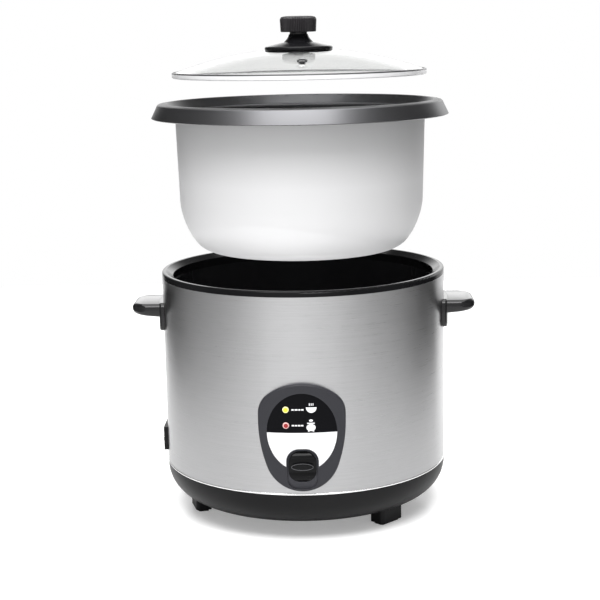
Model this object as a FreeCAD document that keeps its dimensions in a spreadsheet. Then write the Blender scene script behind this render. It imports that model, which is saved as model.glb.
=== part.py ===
import FreeCAD, Part
import math
import os
import re
import Sketcher

# Rice cooker with a steel body, a lift-out pot, a glass lid and a magnetic cook switch.
# Millimetres. +Z is up, the table is Z 0, the body's axis is Z and the control panel faces -Y.
# The pot is drawn lifted by pot_lift above its seat, and the lid by lid_lift above the pot.
# Angles round the body are measured from the front towards +X.

SIZES = {
    # Clearances
    "fit_gap": 0.3,
    "run_gap": 0.05,
    "seat_gap": 0.3,
    # Feet and base
    "foot_height": 14,
    "foot_width": 30,
    "foot_proud": 6,
    "foot_depth": 15,
    "foot_corner": 4,
    "foot_angle": 46,
    "pad_height": 2,
    "pad_inset": 2.5,
    "base_height": 34,
    "base_tuck": 28,
    "base_floor_width": 30,
    "base_curve_radius": 31.6,
    "base_wall": 3,
    "spigot_height": 6,
    # Bottom cover
    "cover_lap": 12,
    "cover_sheet": 1.2,
    "vent_inner": 40,
    "vent_length": 24,
    "vent_width": 5,
    "boss_radius": 4.5,
    "boss_height": 10,
    # Screws
    "screw_radius": 1.5,
    "screw_head_radius": 3,
    "screw_head_height": 2,
    # Steel jacket and its rim
    "shell_radius": 140,
    "shell_wall": 0.8,
    "rim_height": 5.5,
    "rim_round": 2,
    "rim_top_width": 2,
    "rim_slope": 4.5,
    "rim_spigot": 7,
    # Liner and chassis
    "chassis_space": 30,
    "liner_space": 11,
    "liner_wall": 0.8,
    "liner_corner": 20,
    "post_inset": 14,
    "post_radius": 5,
    # Heating plate
    "plate_space": 41,
    "plate_thickness": 12,
    "plate_edge": 4,
    "plate_post_height": 12.7,
    "plate_post_inset": 10,
    "element_inset": 20,
    "element_radius": 4,
    "element_sunk": 3,
    "element_gap_angle": 30,
    "element_leg": 26,
    # Thermostat
    "cap_radius": 16,
    "cap_wall": 1,
    "cap_skirt": 20.7,
    "cap_round": 1.5,
    "cap_bore_gap": 1,
    "cap_travel": 1.5,
    "ferrite_radius": 11,
    "ferrite_thickness": 6.7,
    "tube_radius": 14.5,
    "tube_wall": 1.7,
    "tube_height": 12.8,
    "tube_flange_radius": 26,
    "tube_flange": 1.5,
    "magnet_radius": 10.5,
    "magnet_height": 10.7,
    "magnet_flange": 1.5,
    "magnet_rise": 5.5,
    "spring_wall": 1.4,
    "rod_radius": 2,
    "collar_radius": 5,
    "collar_height": 2,
    "collar_gap": 0.6,
    # Cook lever
    "lever_height": 16,
    "lever_front": 42,
    "lever_width": 9,
    "lever_thickness": 4,
    "lever_tail": 8,
    "lever_crank": 6,
    "lever_crank_space": 28,
    "lever_crank_run": 14,
    "lever_drop": 6,
    "pin_radius": 1.5,
    "pin_length": 16,
    "cheek_wall": 1.5,
    "cheek_gap": 0.5,
    "cheek_width": 12,
    "cheek_foot": 4,
    # Switch that the lever presses
    "switch_space": 12,
    "switch_length": 20,
    "switch_width": 15,
    "switch_height": 13,
    "switch_drop": 5,
    "plunger_radius": 2,
    "plunger_depth": 4,
    "switch_bracket_sheet": 1.2,
    "switch_bracket_tab": 11,
    # Control panel
    "bezel_rise": 5,
    "bezel_proud": 5,
    "bezel_width": 81,
    "bezel_round": 2.5,
    "chin_radius": 35,
    "chin_turn": 70,
    "flank_length": 7.5,
    "shoulder_radius": 22,
    "shoulder_turn": 50,
    "peg_place": 35,
    "peg_rise": 62,
    "peg_radius": 2.5,
    "peg_length": 8,
    "peg_grip": 6,
    "fascia_rise": 56.6,
    "fascia_half_width": 32.4,
    "fascia_half_height": 37,
    "fascia_sheet": 1.4,
    "fascia_sunk": 0.6,
    "arch_rise": 41,
    "arch_half": 15,
    "arch_round": 12,
    "recess_rim": 0.9,
    "recess_round": 9,
    "recess_depth": 3.8,
    "recess_foot": 3,
    "lamp_place": 14.6,
    "lamp_radius": 3,
    "lamp_dome": 1,
    "warm_rise": 78.4,
    "cook_rise": 63.5,
    "board_width": 19,
    "board_margin": 10,
    "board_sheet": 1.5,
    "board_space": 6.5,
    # Lever knob
    "knob_width": 26.7,
    "knob_height": 29,
    "knob_rise": 10.5,
    "knob_thickness": 5.3,
    "knob_corner": 9.5,
    "nose_width": 20.5,
    "nose_height": 6.8,
    "nose_proud": 3.4,
    "nose_rise": 15,
    "nose_round": 0.8,
    "paddle_round": 1.8,
    # Power inlet
    "inlet_rise": 9,
    "inlet_width": 34,
    "inlet_height": 23.7,
    "inlet_proud": 3.2,
    "inlet_body_width": 22,
    "inlet_body_height": 16,
    "inlet_body_depth": 19,
    "inlet_wall": 2,
    "inlet_back": 5,
    "inlet_pin_radius": 1.5,
    "inlet_pin_length": 12,
    "inlet_tab_length": 6,
    "inlet_pin_spread": 5.5,
    "inlet_pin_step": 5,
    "inlet_screw_place": 14,
    # Handles
    "handle_drop": 25,
    "handle_plate_width": 64,
    "handle_plate_height": 27.5,
    "handle_plate_sheet": 5.5,
    "handle_plate_corner": 6,
    "grip_stand": 30,
    "grip_width": 61,
    "grip_root": 13,
    "grip_tip": 10.5,
    "grip_drop": 1,
    "grip_corner": 17,
    "handle_round": 2,
    "handle_screw_place": 20,
    "handle_screw_drop": 7,
    "handle_screw_length": 12,
    # Keep-warm band and thermal fuse
    "warm_band_rise": 34,
    "warm_band_height": 24,
    "warm_band_sheet": 1.2,
    "warm_band_angle": 120,
    "fuse_place": 40,
    "fuse_length": 16,
    "fuse_radius": 2.5,
    "clip_length": 6,
    "clip_wall": 1,
    # Pot
    "pot_lift": 157,
    "pot_sheet": 1.6,
    "pot_height": 144.9,
    "pot_space_low": 10,
    "pot_space_high": 7,
    "pot_side_curve": 65,
    "pot_heel_curve": 23,
    "pot_side_turn": 40,
    "ledge_drop": 9.5,
    "ledge_width": 5,
    "mouth_flare": 8.4,
    "mouth_round": 3,
    "lip_width": 6.6,
    "lip_fall": 0.9,
    "shoulder_width": 1.4,
    "shoulder_fall": 1.4,
    "skirt_proud": 5,
    "skirt_drop": 13.4,
    "flange_clear": 7.4,
    # Lid
    "lid_lift": 33,
    "band_space": 6.7,
    "band_height": 5.5,
    "band_sheet": 0.5,
    "band_lip": 2.6,
    "glass_thickness": 3.6,
    "dome_radius": 355,
    "glass_bore": 4.2,
    "vent_place": 88,
    "vent_angle": 3.4,
    "vent_radius": 3.4,
    "eyelet_wall": 0.8,
    "eyelet_flange": 1.6,
    "eyelet_sheet": 0.7,
    # Lid knob
    "skirt_disc_radius": 33,
    "skirt_disc_edge": 3.4,
    "skirt_disc_rise": 6.6,
    "collar_top_radius": 12.5,
    "neck_radius": 8.5,
    "neck_rise": 14,
    "neck_sweep": 9,
    "grip_bottom_rise": 17,
    "grip_top_rise": 32.2,
    "grip_bottom_radius": 17.2,
    "grip_top_radius": 18,
    "grip_edge": 1.2,
    "knob_screw_radius": 2.2,
    "knob_screw_grip": 10,
    "washer_radius": 7,
    "washer_thickness": 1.5,
}

# Places that follow from the sizes, spelt out in the same words.
PLACES = {
    "base_bottom": "foot_height",
    "base_floor_radius": "shell_radius - base_tuck",
    "base_opening_radius": "base_floor_radius - base_floor_width",
    "foot_reach": "base_floor_radius + foot_proud",
    "cover_radius": "base_opening_radius + cover_lap",
    "cover_screw_circle": "base_opening_radius + cover_lap / 2",
    "post_circle": "base_floor_radius - post_inset",
    "base_floor": "foot_height + base_wall",
    "shell_bottom": "foot_height + base_height",
    "shell_inner": "shell_radius - shell_wall",
    "spigot_outer": "shell_inner - fit_gap",
    "spigot_inner": "spigot_outer - base_wall",
    "cover_bottom": "base_bottom - cover_sheet",
    "liner_radius": "shell_radius - liner_space",
    "liner_floor": "shell_bottom + chassis_space",
    "liner_under": "liner_floor - liner_wall",
    "liner_outer": "liner_radius + liner_wall",
    "plate_radius": "liner_radius - plate_space",
    "plate_post_circle": "plate_radius - plate_post_inset",
    "element_circle": "plate_post_circle - element_inset",
    "plate_bottom": "liner_floor + plate_post_height",
    "plate_top": "plate_bottom + plate_thickness",
    "plate_bore": "cap_radius + cap_bore_gap",
    "element_level": "plate_bottom - element_radius + element_sunk",
    "pot_seat": "plate_top + seat_gap",
    "seated_mouth": "pot_seat + pot_height",
    "rim_top": "seated_mouth - flange_clear",
    "shell_top": "rim_top - rim_height",
    "rim_foot": "shell_top - rim_spigot",
    "rim_throat": "liner_radius + fit_gap",
    "tube_inner": "tube_radius - tube_wall",
    "tube_bottom": "liner_under - tube_flange",
    "tube_top": "tube_bottom + tube_height",
    "tube_lip": "magnet_radius + fit_gap",
    "floor_bore": "tube_radius + fit_gap",
    "cap_inside": "plate_top - cap_wall",
    "cap_bottom": "plate_top - cap_skirt",
    "ferrite_bottom": "cap_inside - ferrite_thickness",
    "magnet_top": "ferrite_bottom - cap_travel - fit_gap - magnet_rise",
    "magnet_shoulder": "magnet_top - magnet_height",
    "magnet_bottom": "magnet_shoulder - magnet_flange",
    "magnet_flange_radius": "tube_inner - fit_gap",
    "lever_axis": "shell_bottom + lever_height",
    "arm_top": "lever_axis + lever_thickness / 2",
    "arm_under": "lever_axis - lever_thickness / 2",
    "stem_top": "arm_top + lever_crank",
    "stem_under": "arm_under + lever_crank",
    "lever_crank_start": "shell_radius - lever_crank_space",
    "crank_end": "lever_crank_start + lever_crank_run",
    "lever_pivot": "lever_crank_start - lever_front",
    "switch_place": "lever_crank_start - switch_space",
    "bezel_bottom": "shell_bottom + bezel_rise",
    "bezel_radius": "shell_radius + bezel_proud",
    "clear_reach": "bezel_radius * 1.1",
    "bezel_half": "bezel_width / 2",
    "chin_half": "chin_radius * sin(chin_turn)",
    "chin_level": "bezel_bottom + chin_radius * (1 - cos(chin_turn))",
    "side_radius": "(bezel_half - chin_half) / (1 - sin(chin_turn))",
    "flank_level": "chin_level + side_radius * cos(chin_turn)",
    "waist_level": "flank_level + flank_length",
    "crown_half": "bezel_half - shoulder_radius * (1 - cos(shoulder_turn))",
    "crown_level": "waist_level + shoulder_radius * sin(shoulder_turn)",
    "crown_radius": "crown_half / cos(shoulder_turn)",
    "bezel_top": "crown_level + crown_radius * (1 - sin(shoulder_turn))",
    "fascia_level": "bezel_bottom + fascia_rise",
    "fascia_radius": "bezel_radius - fascia_sunk",
    "fascia_back": "fascia_radius - fascia_sheet",
    "arch_top": "bezel_bottom + arch_rise",
    "arch_foot": "(bezel_bottom - arch_rise)",
    "recess_floor": "bezel_radius - recess_depth",
    "recess_half": "arch_half - recess_rim",
    "recess_top": "arch_top - recess_rim",
    "recess_bottom": "bezel_bottom + recess_foot",
    "knob_back": "recess_floor + fit_gap + run_gap",
    "knob_bottom": "bezel_bottom + knob_rise",
    "warm_level": "bezel_bottom + warm_rise",
    "cook_level": "bezel_bottom + cook_rise",
    "board_depth": "shell_radius - board_space",
    "inlet_bottom": "shell_bottom + inlet_rise",
    "inlet_middle": "inlet_bottom + inlet_height / 2",
    "inlet_front": "shell_radius + inlet_proud",
    "inlet_end": "shell_radius - inlet_body_depth",
    "inlet_socket": "inlet_end + inlet_back",
    "handle_top": "shell_top - handle_drop",
    "handle_reach": "shell_radius + grip_stand",
    "grip_top": "handle_top - grip_drop",
    "plate_face": "shell_radius + handle_plate_sheet",
    "handle_screw_level": "handle_top - handle_screw_drop",
    "pot_bottom": "pot_seat + pot_lift",
    "mouth": "pot_bottom + pot_height",
    "pot_wall_low": "liner_radius - pot_space_low",
    "pot_wall_high": "liner_radius - pot_space_high",
    "mouth_radius": "pot_wall_high + mouth_flare",
    "skirt_radius": "shell_radius + skirt_proud",
    "heel_turn_in": "pot_side_curve * sin(pot_side_turn) - pot_heel_curve * sin(pot_side_turn)",
    "side_start": "pot_bottom + heel_turn_in + pot_heel_curve",
    "heel_radius": "pot_wall_low - pot_side_curve * (1 - cos(pot_side_turn))",
    "heel_level": "side_start - pot_side_curve * sin(pot_side_turn)",
    "pot_floor_radius": "heel_radius - pot_heel_curve * cos(pot_side_turn)",
    "ledge_level": "mouth - ledge_drop",
    "ledge_inner": "pot_wall_high - pot_sheet",
    "ledge_outer": "ledge_inner + ledge_width",
    "lip_outer": "mouth_radius + lip_width",
    "shoulder_outer": "lip_outer + shoulder_width",
    "lid_foot": "ledge_level + seat_gap + lid_lift",
    "band_radius": "mouth_radius - band_space",
    "glass_radius": "band_radius - band_sheet - fit_gap",
    "glass_under": "lid_foot + band_sheet",
    "dome_inner": "dome_radius - glass_thickness",
    "dome_centre": "glass_under + run_gap - sqrt(dome_inner ^ 2 - glass_radius ^ 2)",
    "glass_edge": "dome_centre + sqrt(dome_radius ^ 2 - glass_radius ^ 2)",
    "skirt_level": "dome_centre + sqrt(dome_radius ^ 2 - skirt_disc_radius ^ 2)",
}

doc = FreeCAD.newDocument("rice_cooker")
sheet = doc.addObject("Spreadsheet::Sheet", "dims")
for row, (size_name, size) in enumerate(SIZES.items(), 1):
    sheet.set(f"A{row}", size_name)
    sheet.set(f"B{row}", str(size))
    sheet.setAlias(f"B{row}", size_name)
doc.recompute()

pieces = []


def formula(text):
    """Spell out a formula's words as cells of the sheet."""
    def spell(match):
        word = match.group(0)
        if word in SIZES:
            return "dims." + word
        if word in PLACES:
            return "(" + formula(PLACES[word]) + ")"
        return word
    return re.sub(r"[a-z][a-z_]*", spell, text)


def value(text):
    """Work out a formula as a plain number."""
    return float(sheet.evalExpression(formula(text)))


def bind(thing, **formulas):
    """Tie an object's sizes to the sheet."""
    for name, text in formulas.items():
        thing.setExpression(name, formula(text))
    return thing


def place(thing, x="0", y="0", z="0"):
    """Tie an object's place to the sheet."""
    for axis, text in (("x", x), ("y", y), ("z", z)):
        thing.setExpression("Placement.Base." + axis, formula(text))
    return thing


def turn(thing, axis, angle):
    """Turn an object about an axis through its own origin."""
    thing.Placement = FreeCAD.Placement(FreeCAD.Vector(), FreeCAD.Rotation(axis, value(angle)))
    return thing


UP = FreeCAD.Vector(0, 0, 1)
RIGHT = FreeCAD.Vector(1, 0, 0)
FRONT = FreeCAD.Vector(0, -1, 0)
BACK = FreeCAD.Vector(0, 1, 0)
VENT_SLOTS = 12


def round_stretch(start, end, radius):
    """Arc of under half a circle, with its centre on the left of the way for a positive radius."""
    chord = end - start
    half = chord.Length / 2
    left = FreeCAD.Vector(-chord.y, chord.x, 0).normalize()
    offset = math.sqrt(max(radius * radius - half * half, 0))
    side = 1 if radius > 0 else -1
    centre = (start + end) * 0.5 + left * (side * offset)
    angles = [math.atan2(spot.y - centre.y, spot.x - centre.x) for spot in (start, end)]
    if side < 0:
        angles.reverse()
    circle = Part.Circle(centre, UP, abs(radius))
    return Part.ArcOfCircle(circle, angles[0], angles[1])


def spot_rules(x, y, stretch, end):
    """Constraints, with their formulas, that hold a stretch's end at a spot."""
    rules = []
    for kind, axis, text in (("DistanceX", -2, x), ("DistanceY", -1, y)):
        distance = value(text)
        if abs(distance) < 1e-9:
            rules.append((Sketcher.Constraint("PointOnObject", stretch, end, axis), None))
        elif distance > 0:
            rules.append((Sketcher.Constraint(kind, -1, 1, stretch, end, distance), text))
        else:
            rules.append((Sketcher.Constraint(kind, stretch, end, -1, 1, -distance), f"-({text})"))
    return rules


def draw(sketch, corners, closed=True):
    """Draw an outline. A corner is (x, y), or (x, y, radius) where an arc leads up to it."""
    spots = [FreeCAD.Vector(value(corner[0]), value(corner[1]), 0) for corner in corners]
    rules = []
    ends = []
    first = 0 if closed else 1
    for index in range(first, len(corners)):
        corner = corners[index]
        stretch = len(ends)
        if len(corner) == 3:
            radius = value(corner[2])
            sketch.addGeometry(round_stretch(spots[index - 1], spots[index], radius), False)
            ends.append((1, 2) if radius > 0 else (2, 1))
            rules.append((Sketcher.Constraint("Radius", stretch, abs(radius)), f"abs({corner[2]})"))
        else:
            sketch.addGeometry(Part.LineSegment(spots[index - 1], spots[index]), False)
            ends.append((1, 2))
        rules += spot_rules(corner[0], corner[1], stretch, ends[-1][1])
    for stretch in range(len(ends)):
        if stretch or closed:
            before = stretch - 1 if stretch else len(ends) - 1
            join = Sketcher.Constraint("Coincident", before, ends[before][1], stretch, ends[stretch][0])
            rules.append((join, None))
    if not closed:
        rules += spot_rules(corners[0][0], corners[0][1], 0, ends[0][0])
    sketch.addConstraint([rule for rule, text in rules])
    for index, (rule, text) in enumerate(rules):
        if text is not None:
            sketch.setExpression(f"Constraints[{index}]", formula(text))


def sketch_on(body, name, role):
    """Start a sketch on one of a body's own planes."""
    sketch = body.newObject("Sketcher::SketchObject", name)
    plane = next(feature for feature in body.Origin.OriginFeatures if feature.Role == role)
    sketch.AttachmentSupport = [(plane, "")]
    sketch.MapMode = "FlatFace"
    return sketch


def turned(name, corners):
    """Body turned about Z from half of its section, drawn as (radius, height)."""
    body = doc.addObject("PartDesign::Body", name)
    sketch = sketch_on(body, name + "_section", "XZ_Plane")
    draw(sketch, corners)
    revolution = body.newObject("PartDesign::Revolution", name + "_turn")
    revolution.Profile = sketch
    revolution.ReferenceAxis = (sketch, ["V_Axis"])
    revolution.Angle = 360
    return body


def padded(name, role, corners, length, both_ways=False):
    """Body with a constant section, drawn on one of its planes."""
    body = doc.addObject("PartDesign::Body", name)
    sketch = sketch_on(body, name + "_section", role)
    draw(sketch, corners)
    pad = body.newObject("PartDesign::Pad", name + "_pad")
    pad.Profile = sketch
    if both_ways:
        pad.SideType = "Symmetric"
    bind(pad, Length=length)
    return body


def block(name, x, y, z):
    """Box between a low and a high formula along each axis."""
    box = doc.addObject("Part::Box", name)
    bind(box, Length=f"({x[1]}) - ({x[0]})", Width=f"({y[1]}) - ({y[0]})", Height=f"({z[1]}) - ({z[0]})")
    return place(box, x[0], y[0], z[0])


def rod(name, radius, length, x="0", y="0", z="0", along=None):
    """Cylinder from a spot, upright unless another way is given."""
    cylinder = doc.addObject("Part::Cylinder", name)
    if along is not None:
        cylinder.Placement = FreeCAD.Placement(FreeCAD.Vector(), FreeCAD.Rotation(UP, along))
    bind(cylinder, Radius=radius, Height=length)
    return place(cylinder, x, y, z)


def ring(name, inner, outer, bottom, height):
    """Plain round sleeve about Z."""
    bore = rod(name + "_bore", inner, height, z=bottom)
    return cut(name, rod(name + "_disc", outer, height, z=bottom), bore)


def cut(name, base, *tools):
    """Take tools away from a piece, one after another."""
    for index, tool in enumerate(tools):
        last = index == len(tools) - 1
        result = doc.addObject("Part::Cut", name if last else f"{name}_cut_{index}")
        result.Base = base
        result.Tool = tool
        base = result
    return base


def fuse(name, *members):
    """Join pieces into one."""
    joined = doc.addObject("Part::MultiFuse", name)
    joined.Shapes = list(members)
    return joined


def common(name, first, second):
    """Keep what two pieces share."""
    shared = doc.addObject("Part::MultiCommon", name)
    shared.Shapes = [first, second]
    return shared


def group(name, members):
    """Like pieces that share one node, each still its own solid."""
    held = doc.addObject("Part::Compound", name)
    held.Links = list(members)
    return held


def rounded(name, base, radius, picks):
    """Round the edges of a piece that a test picks."""
    doc.recompute()
    fillet = doc.addObject("Part::Fillet", name)
    fillet.Base = base
    size = value(radius)
    whole = base.Shape.BoundBox
    edges = enumerate(base.Shape.Edges, 1)
    fillet.Edges = [(index, size, size) for index, edge in edges if picks(edge, whole)]
    return fillet


def at_front(edge, whole):
    """True for an edge that lies in the foremost plane of its piece."""
    return abs(edge.BoundBox.YMax - whole.YMin) < 1e-4


def on_radius(text):
    """Test for edges that lie on a cylinder about Z."""
    radius = value(text)

    def lies_on(edge, whole):
        low, high = edge.ParameterRange
        spots = [edge.valueAt(low + (high - low) * share) for share in (0, 0.3, 0.7, 1)]
        return all(abs(math.hypot(spot.x, spot.y) - radius) < 1e-3 for spot in spots)
    return lies_on


def piece(label, thing):
    """Name a finished piece, which gets its own file."""
    thing.Label = label
    pieces.append(thing)
    return thing


def around(radius, angle):
    """Formulas for a spot on a circle about Z."""
    return f"({radius}) * sin({angle})", f"-({radius}) * cos({angle})"


def foot_angles():
    """Formulas for the three angles that carry a foot."""
    return [f"foot_angle + {third} * 120" for third in range(3)]


def between_feet():
    """Formulas for the three angles half way between the feet."""
    return [f"foot_angle + 60 + {third} * 120" for third in range(3)]


def bores(name, radius, circle, angles, bottom, height):
    """Upright holes round a circle, as tools to cut with."""
    tools = []
    for index, angle in enumerate(angles):
        x, y = around(circle, angle)
        tools.append(rod(f"{name}_{index}", radius, height, x, y, bottom))
    return tools


def screw(name, length, head_up):
    """Pan-head screw on Z, with the underside of its head at zero."""
    head, tip = ("screw_head_height", f"-({length})") if head_up else ("-screw_head_height", length)
    return turned(name, [
        ("0", head),
        ("screw_head_radius", head),
        ("screw_head_radius", "0"),
        ("screw_radius", "0"),
        ("screw_radius", tip),
        ("0", tip),
    ])


def make_base():
    """Curved black base with screw bosses, its feet and their pads."""
    outline = [
        ("base_opening_radius", "base_bottom"),
        ("base_floor_radius", "base_bottom"),
        ("shell_radius", "shell_bottom", "base_curve_radius"),
        ("spigot_outer", "shell_bottom"),
        ("spigot_outer", "shell_bottom + spigot_height"),
        ("spigot_inner", "shell_bottom + spigot_height"),
        ("spigot_inner", "shell_bottom"),
        ("base_floor_radius", "base_floor", "-(base_curve_radius - base_wall)"),
        ("base_opening_radius", "base_floor"),
    ]
    bowl = turned("base_bowl", outline)
    bosses = bores("base_boss", "boss_radius", "cover_screw_circle", between_feet(), "base_bottom",
                   "base_wall + boss_height")
    joined = fuse("base_bossed", bowl, *bosses)
    holes = bores("boss_bore", "screw_radius", "cover_screw_circle", between_feet(), "base_bottom",
                  "base_wall + boss_height")
    holes += bores("base_bore", "screw_radius", "post_circle", foot_angles(), "base_bottom", "base_wall")
    piece("base_ring", cut("base_ring", joined, *holes))
    form = turned("base_form", [
        ("0", "base_bottom"),
        ("base_floor_radius", "base_bottom"),
        ("shell_radius", "shell_bottom", "base_curve_radius"),
        ("0", "shell_bottom"),
    ])
    feet = []
    pads = []
    for index, angle in enumerate(foot_angles()):
        block_foot = turn(foot_block(f"foot_block_{index}", "0", "base_height"), UP, angle)
        place(block_foot, z="pad_height")
        feet.append(cut(f"foot_{index}", block_foot, form))
        pads.append(turn(foot_block(f"foot_pad_{index}", "pad_inset", "pad_height"), UP, angle))
    piece("feet", group("feet", feet))
    piece("foot_pads", group("foot_pads", pads))


def foot_block(name, inset, height):
    """Foot section with rounded outer corners, drawn at the front."""
    half = f"(foot_width / 2 - {inset})"
    outer = f"(foot_reach - {inset})"
    inner = f"(foot_reach - foot_depth + {inset})"
    corner = f"(foot_corner - {inset} / 2)"
    outline = [
        (f"-{half}", f"-{inner}"),
        (f"-{half}", f"{corner} - {outer}"),
        (f"{corner} - {half}", f"-{outer}", corner),
        (f"{half} - {corner}", f"-{outer}"),
        (half, f"{corner} - {outer}", corner),
        (half, f"-{inner}"),
    ]
    return padded(name, "XY_Plane", outline, height)


def make_cover():
    """Vented bottom plate and the screws that hold it."""
    plate = rod("cover_disc", "cover_radius", "cover_sheet", z="cover_bottom")
    holes = bores("cover_bore", "screw_radius + run_gap", "cover_screw_circle", between_feet(),
                  "cover_bottom", "cover_sheet")
    for index in range(VENT_SLOTS):
        slot = padded(f"cover_slot_{index}", "XY_Plane", [
            ("-vent_width / 2", "-vent_inner - vent_length"),
            ("vent_width / 2", "-vent_inner - vent_length"),
            ("vent_width / 2", "-vent_inner"),
            ("-vent_width / 2", "-vent_inner"),
        ], "cover_sheet")
        holes.append(place(turn(slot, UP, f"{index} * 360 / {VENT_SLOTS}"), z="cover_bottom"))
    piece("bottom_cover", cut("bottom_cover", plate, *holes))
    screws = []
    for index, angle in enumerate(between_feet()):
        x, y = around("cover_screw_circle", angle)
        screws.append(place(screw(f"cover_screw_{index}", "boss_height", False), x, y, "cover_bottom"))
    piece("cover_screws", group("cover_screws", screws))


def make_shell():
    """Steel jacket with the holes that the panel, the inlet and the handles need."""
    tube = turned("shell_tube", [
        ("shell_inner", "shell_bottom"),
        ("shell_radius", "shell_bottom"),
        ("shell_radius", "shell_top"),
        ("shell_inner", "shell_top"),
    ])
    window = block("shell_inlet_window", ("-clear_reach", "-liner_radius"),
                   ("-inlet_body_width / 2 - fit_gap", "inlet_body_width / 2 + fit_gap"),
                   ("inlet_middle - inlet_body_height / 2 - fit_gap",
                    "inlet_middle + inlet_body_height / 2 + fit_gap"))
    holes = [stem_slot("shell_slot"), window]
    holes += lamp_tools("shell_lamp_hole", "fit_gap")
    holes += [peg("shell_peg_hole", side, "fit_gap") for side in (-1, 1)]
    for side in (-1, 1):
        y = f"{side} * handle_screw_place"
        holes.append(rod(f"shell_handle_hole_{side + 1}", "screw_radius + fit_gap", "clear_reach * 2",
                         "-clear_reach", y, "handle_screw_level", RIGHT))
        y = f"{side} * inlet_screw_place"
        holes.append(rod(f"shell_inlet_hole_{side + 1}", "screw_radius + fit_gap", "clear_reach",
                         "-clear_reach", y, "inlet_middle", RIGHT))
    piece("outer_shell", cut("outer_shell", tube, *holes))


def make_rim():
    """Black ring that caps the jacket and the liner's flange."""
    piece("top_rim", turned("top_rim", [
        ("rim_throat", "rim_foot"),
        ("spigot_outer", "rim_foot"),
        ("spigot_outer", "shell_top"),
        ("shell_radius", "shell_top"),
        ("shell_radius", "rim_top - rim_round"),
        ("shell_radius - rim_round", "rim_top", "rim_round"),
        ("shell_radius - rim_round - rim_top_width", "rim_top"),
        ("rim_throat", "rim_top - rim_slope"),
    ]))


def make_liner():
    """Dark cavity wall with a flat floor, hung by its flange under the rim."""
    bowl = turned("liner_bowl", [
        ("floor_bore", "liner_floor"),
        ("liner_radius - liner_corner", "liner_floor"),
        ("liner_radius", "liner_floor + liner_corner", "liner_corner"),
        ("liner_radius", "rim_foot"),
        ("spigot_outer", "rim_foot"),
        ("spigot_outer", "rim_foot - liner_wall"),
        ("liner_outer", "rim_foot - liner_wall"),
        ("liner_outer", "liner_floor + liner_corner"),
        ("liner_radius - liner_corner", "liner_under", "-(liner_corner + liner_wall)"),
        ("floor_bore", "liner_under"),
    ])
    holes = bores("liner_post_bore", "screw_radius + run_gap", "post_circle", foot_angles(),
                  "liner_under", "liner_wall")
    holes += bores("liner_plate_bore", "screw_radius + run_gap", "plate_post_circle", between_feet(),
                   "liner_under", "liner_wall")
    holes += bores("liner_leg_bore", "element_radius + fit_gap", "element_circle", leg_angles(),
                   "liner_under", "liner_wall")
    piece("inner_liner", cut("inner_liner", bowl, *holes))
    posts = []
    screws = []
    for index, angle in enumerate(foot_angles()):
        x, y = around("post_circle", angle)
        post = rod(f"post_body_{index}", "post_radius", "liner_under - base_floor", x, y, "base_floor")
        bore = rod(f"post_bore_{index}", "screw_radius", "liner_under - base_floor", x, y, "base_floor")
        posts.append(cut(f"post_{index}", post, bore))
        low = screw(f"post_screw_low_{index}", "boss_height", False)
        screws.append(place(low, x, y, "base_bottom"))
        high = screw(f"post_screw_high_{index}", "boss_height", True)
        screws.append(place(high, x, y, "liner_floor"))
    piece("chassis_posts", group("chassis_posts", posts))
    piece("chassis_screws", group("chassis_screws", screws))


def leg_angles():
    """Formulas for the angles of the heating element's two ends, at the back."""
    return ["180 - element_gap_angle / 2", "180 + element_gap_angle / 2"]


def make_heater():
    """Cast plate on three posts, with its element sunk in the underside."""
    plate = turned("plate_disc", [
        ("plate_bore", "plate_bottom"),
        ("plate_radius", "plate_bottom"),
        ("plate_radius", "plate_top - plate_edge"),
        ("plate_radius - plate_edge", "plate_top", "plate_edge"),
        ("plate_bore", "plate_top"),
    ])
    groove = doc.addObject("Part::Torus", "plate_groove")
    bind(groove, Radius1="element_circle", Radius2="element_radius + run_gap")
    place(groove, z="element_level")
    piece("heating_plate", cut("heating_plate", plate, groove))
    coil = doc.addObject("Part::Torus", "element_coil")
    bind(coil, Radius1="element_circle", Radius2="element_radius", Angle3="360 - element_gap_angle")
    turn(coil, UP, "90 + element_gap_angle / 2")
    place(coil, z="element_level")
    ends = [coil]
    for index, angle in enumerate(leg_angles()):
        x, y = around("element_circle", angle)
        ball = doc.addObject("Part::Sphere", f"element_bend_{index}")
        bind(ball, Radius="element_radius")
        ends.append(place(ball, x, y, "element_level"))
        ends.append(rod(f"element_leg_{index}", "element_radius", "element_leg", x, y,
                        "element_level - element_leg"))
    piece("heating_element", fuse("heating_element", *ends))
    posts = []
    screws = []
    for index, angle in enumerate(between_feet()):
        x, y = around("plate_post_circle", angle)
        body = rod(f"plate_post_body_{index}", "post_radius", "plate_post_height", x, y, "liner_floor")
        bore = rod(f"plate_post_bore_{index}", "screw_radius", "plate_post_height", x, y, "liner_floor")
        posts.append(cut(f"plate_post_{index}", body, bore))
        low = screw(f"plate_screw_{index}", "plate_post_height", False)
        screws.append(place(low, x, y, "liner_under"))
    piece("plate_posts", group("plate_posts", posts))
    piece("plate_screws", group("plate_screws", screws))


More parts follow.
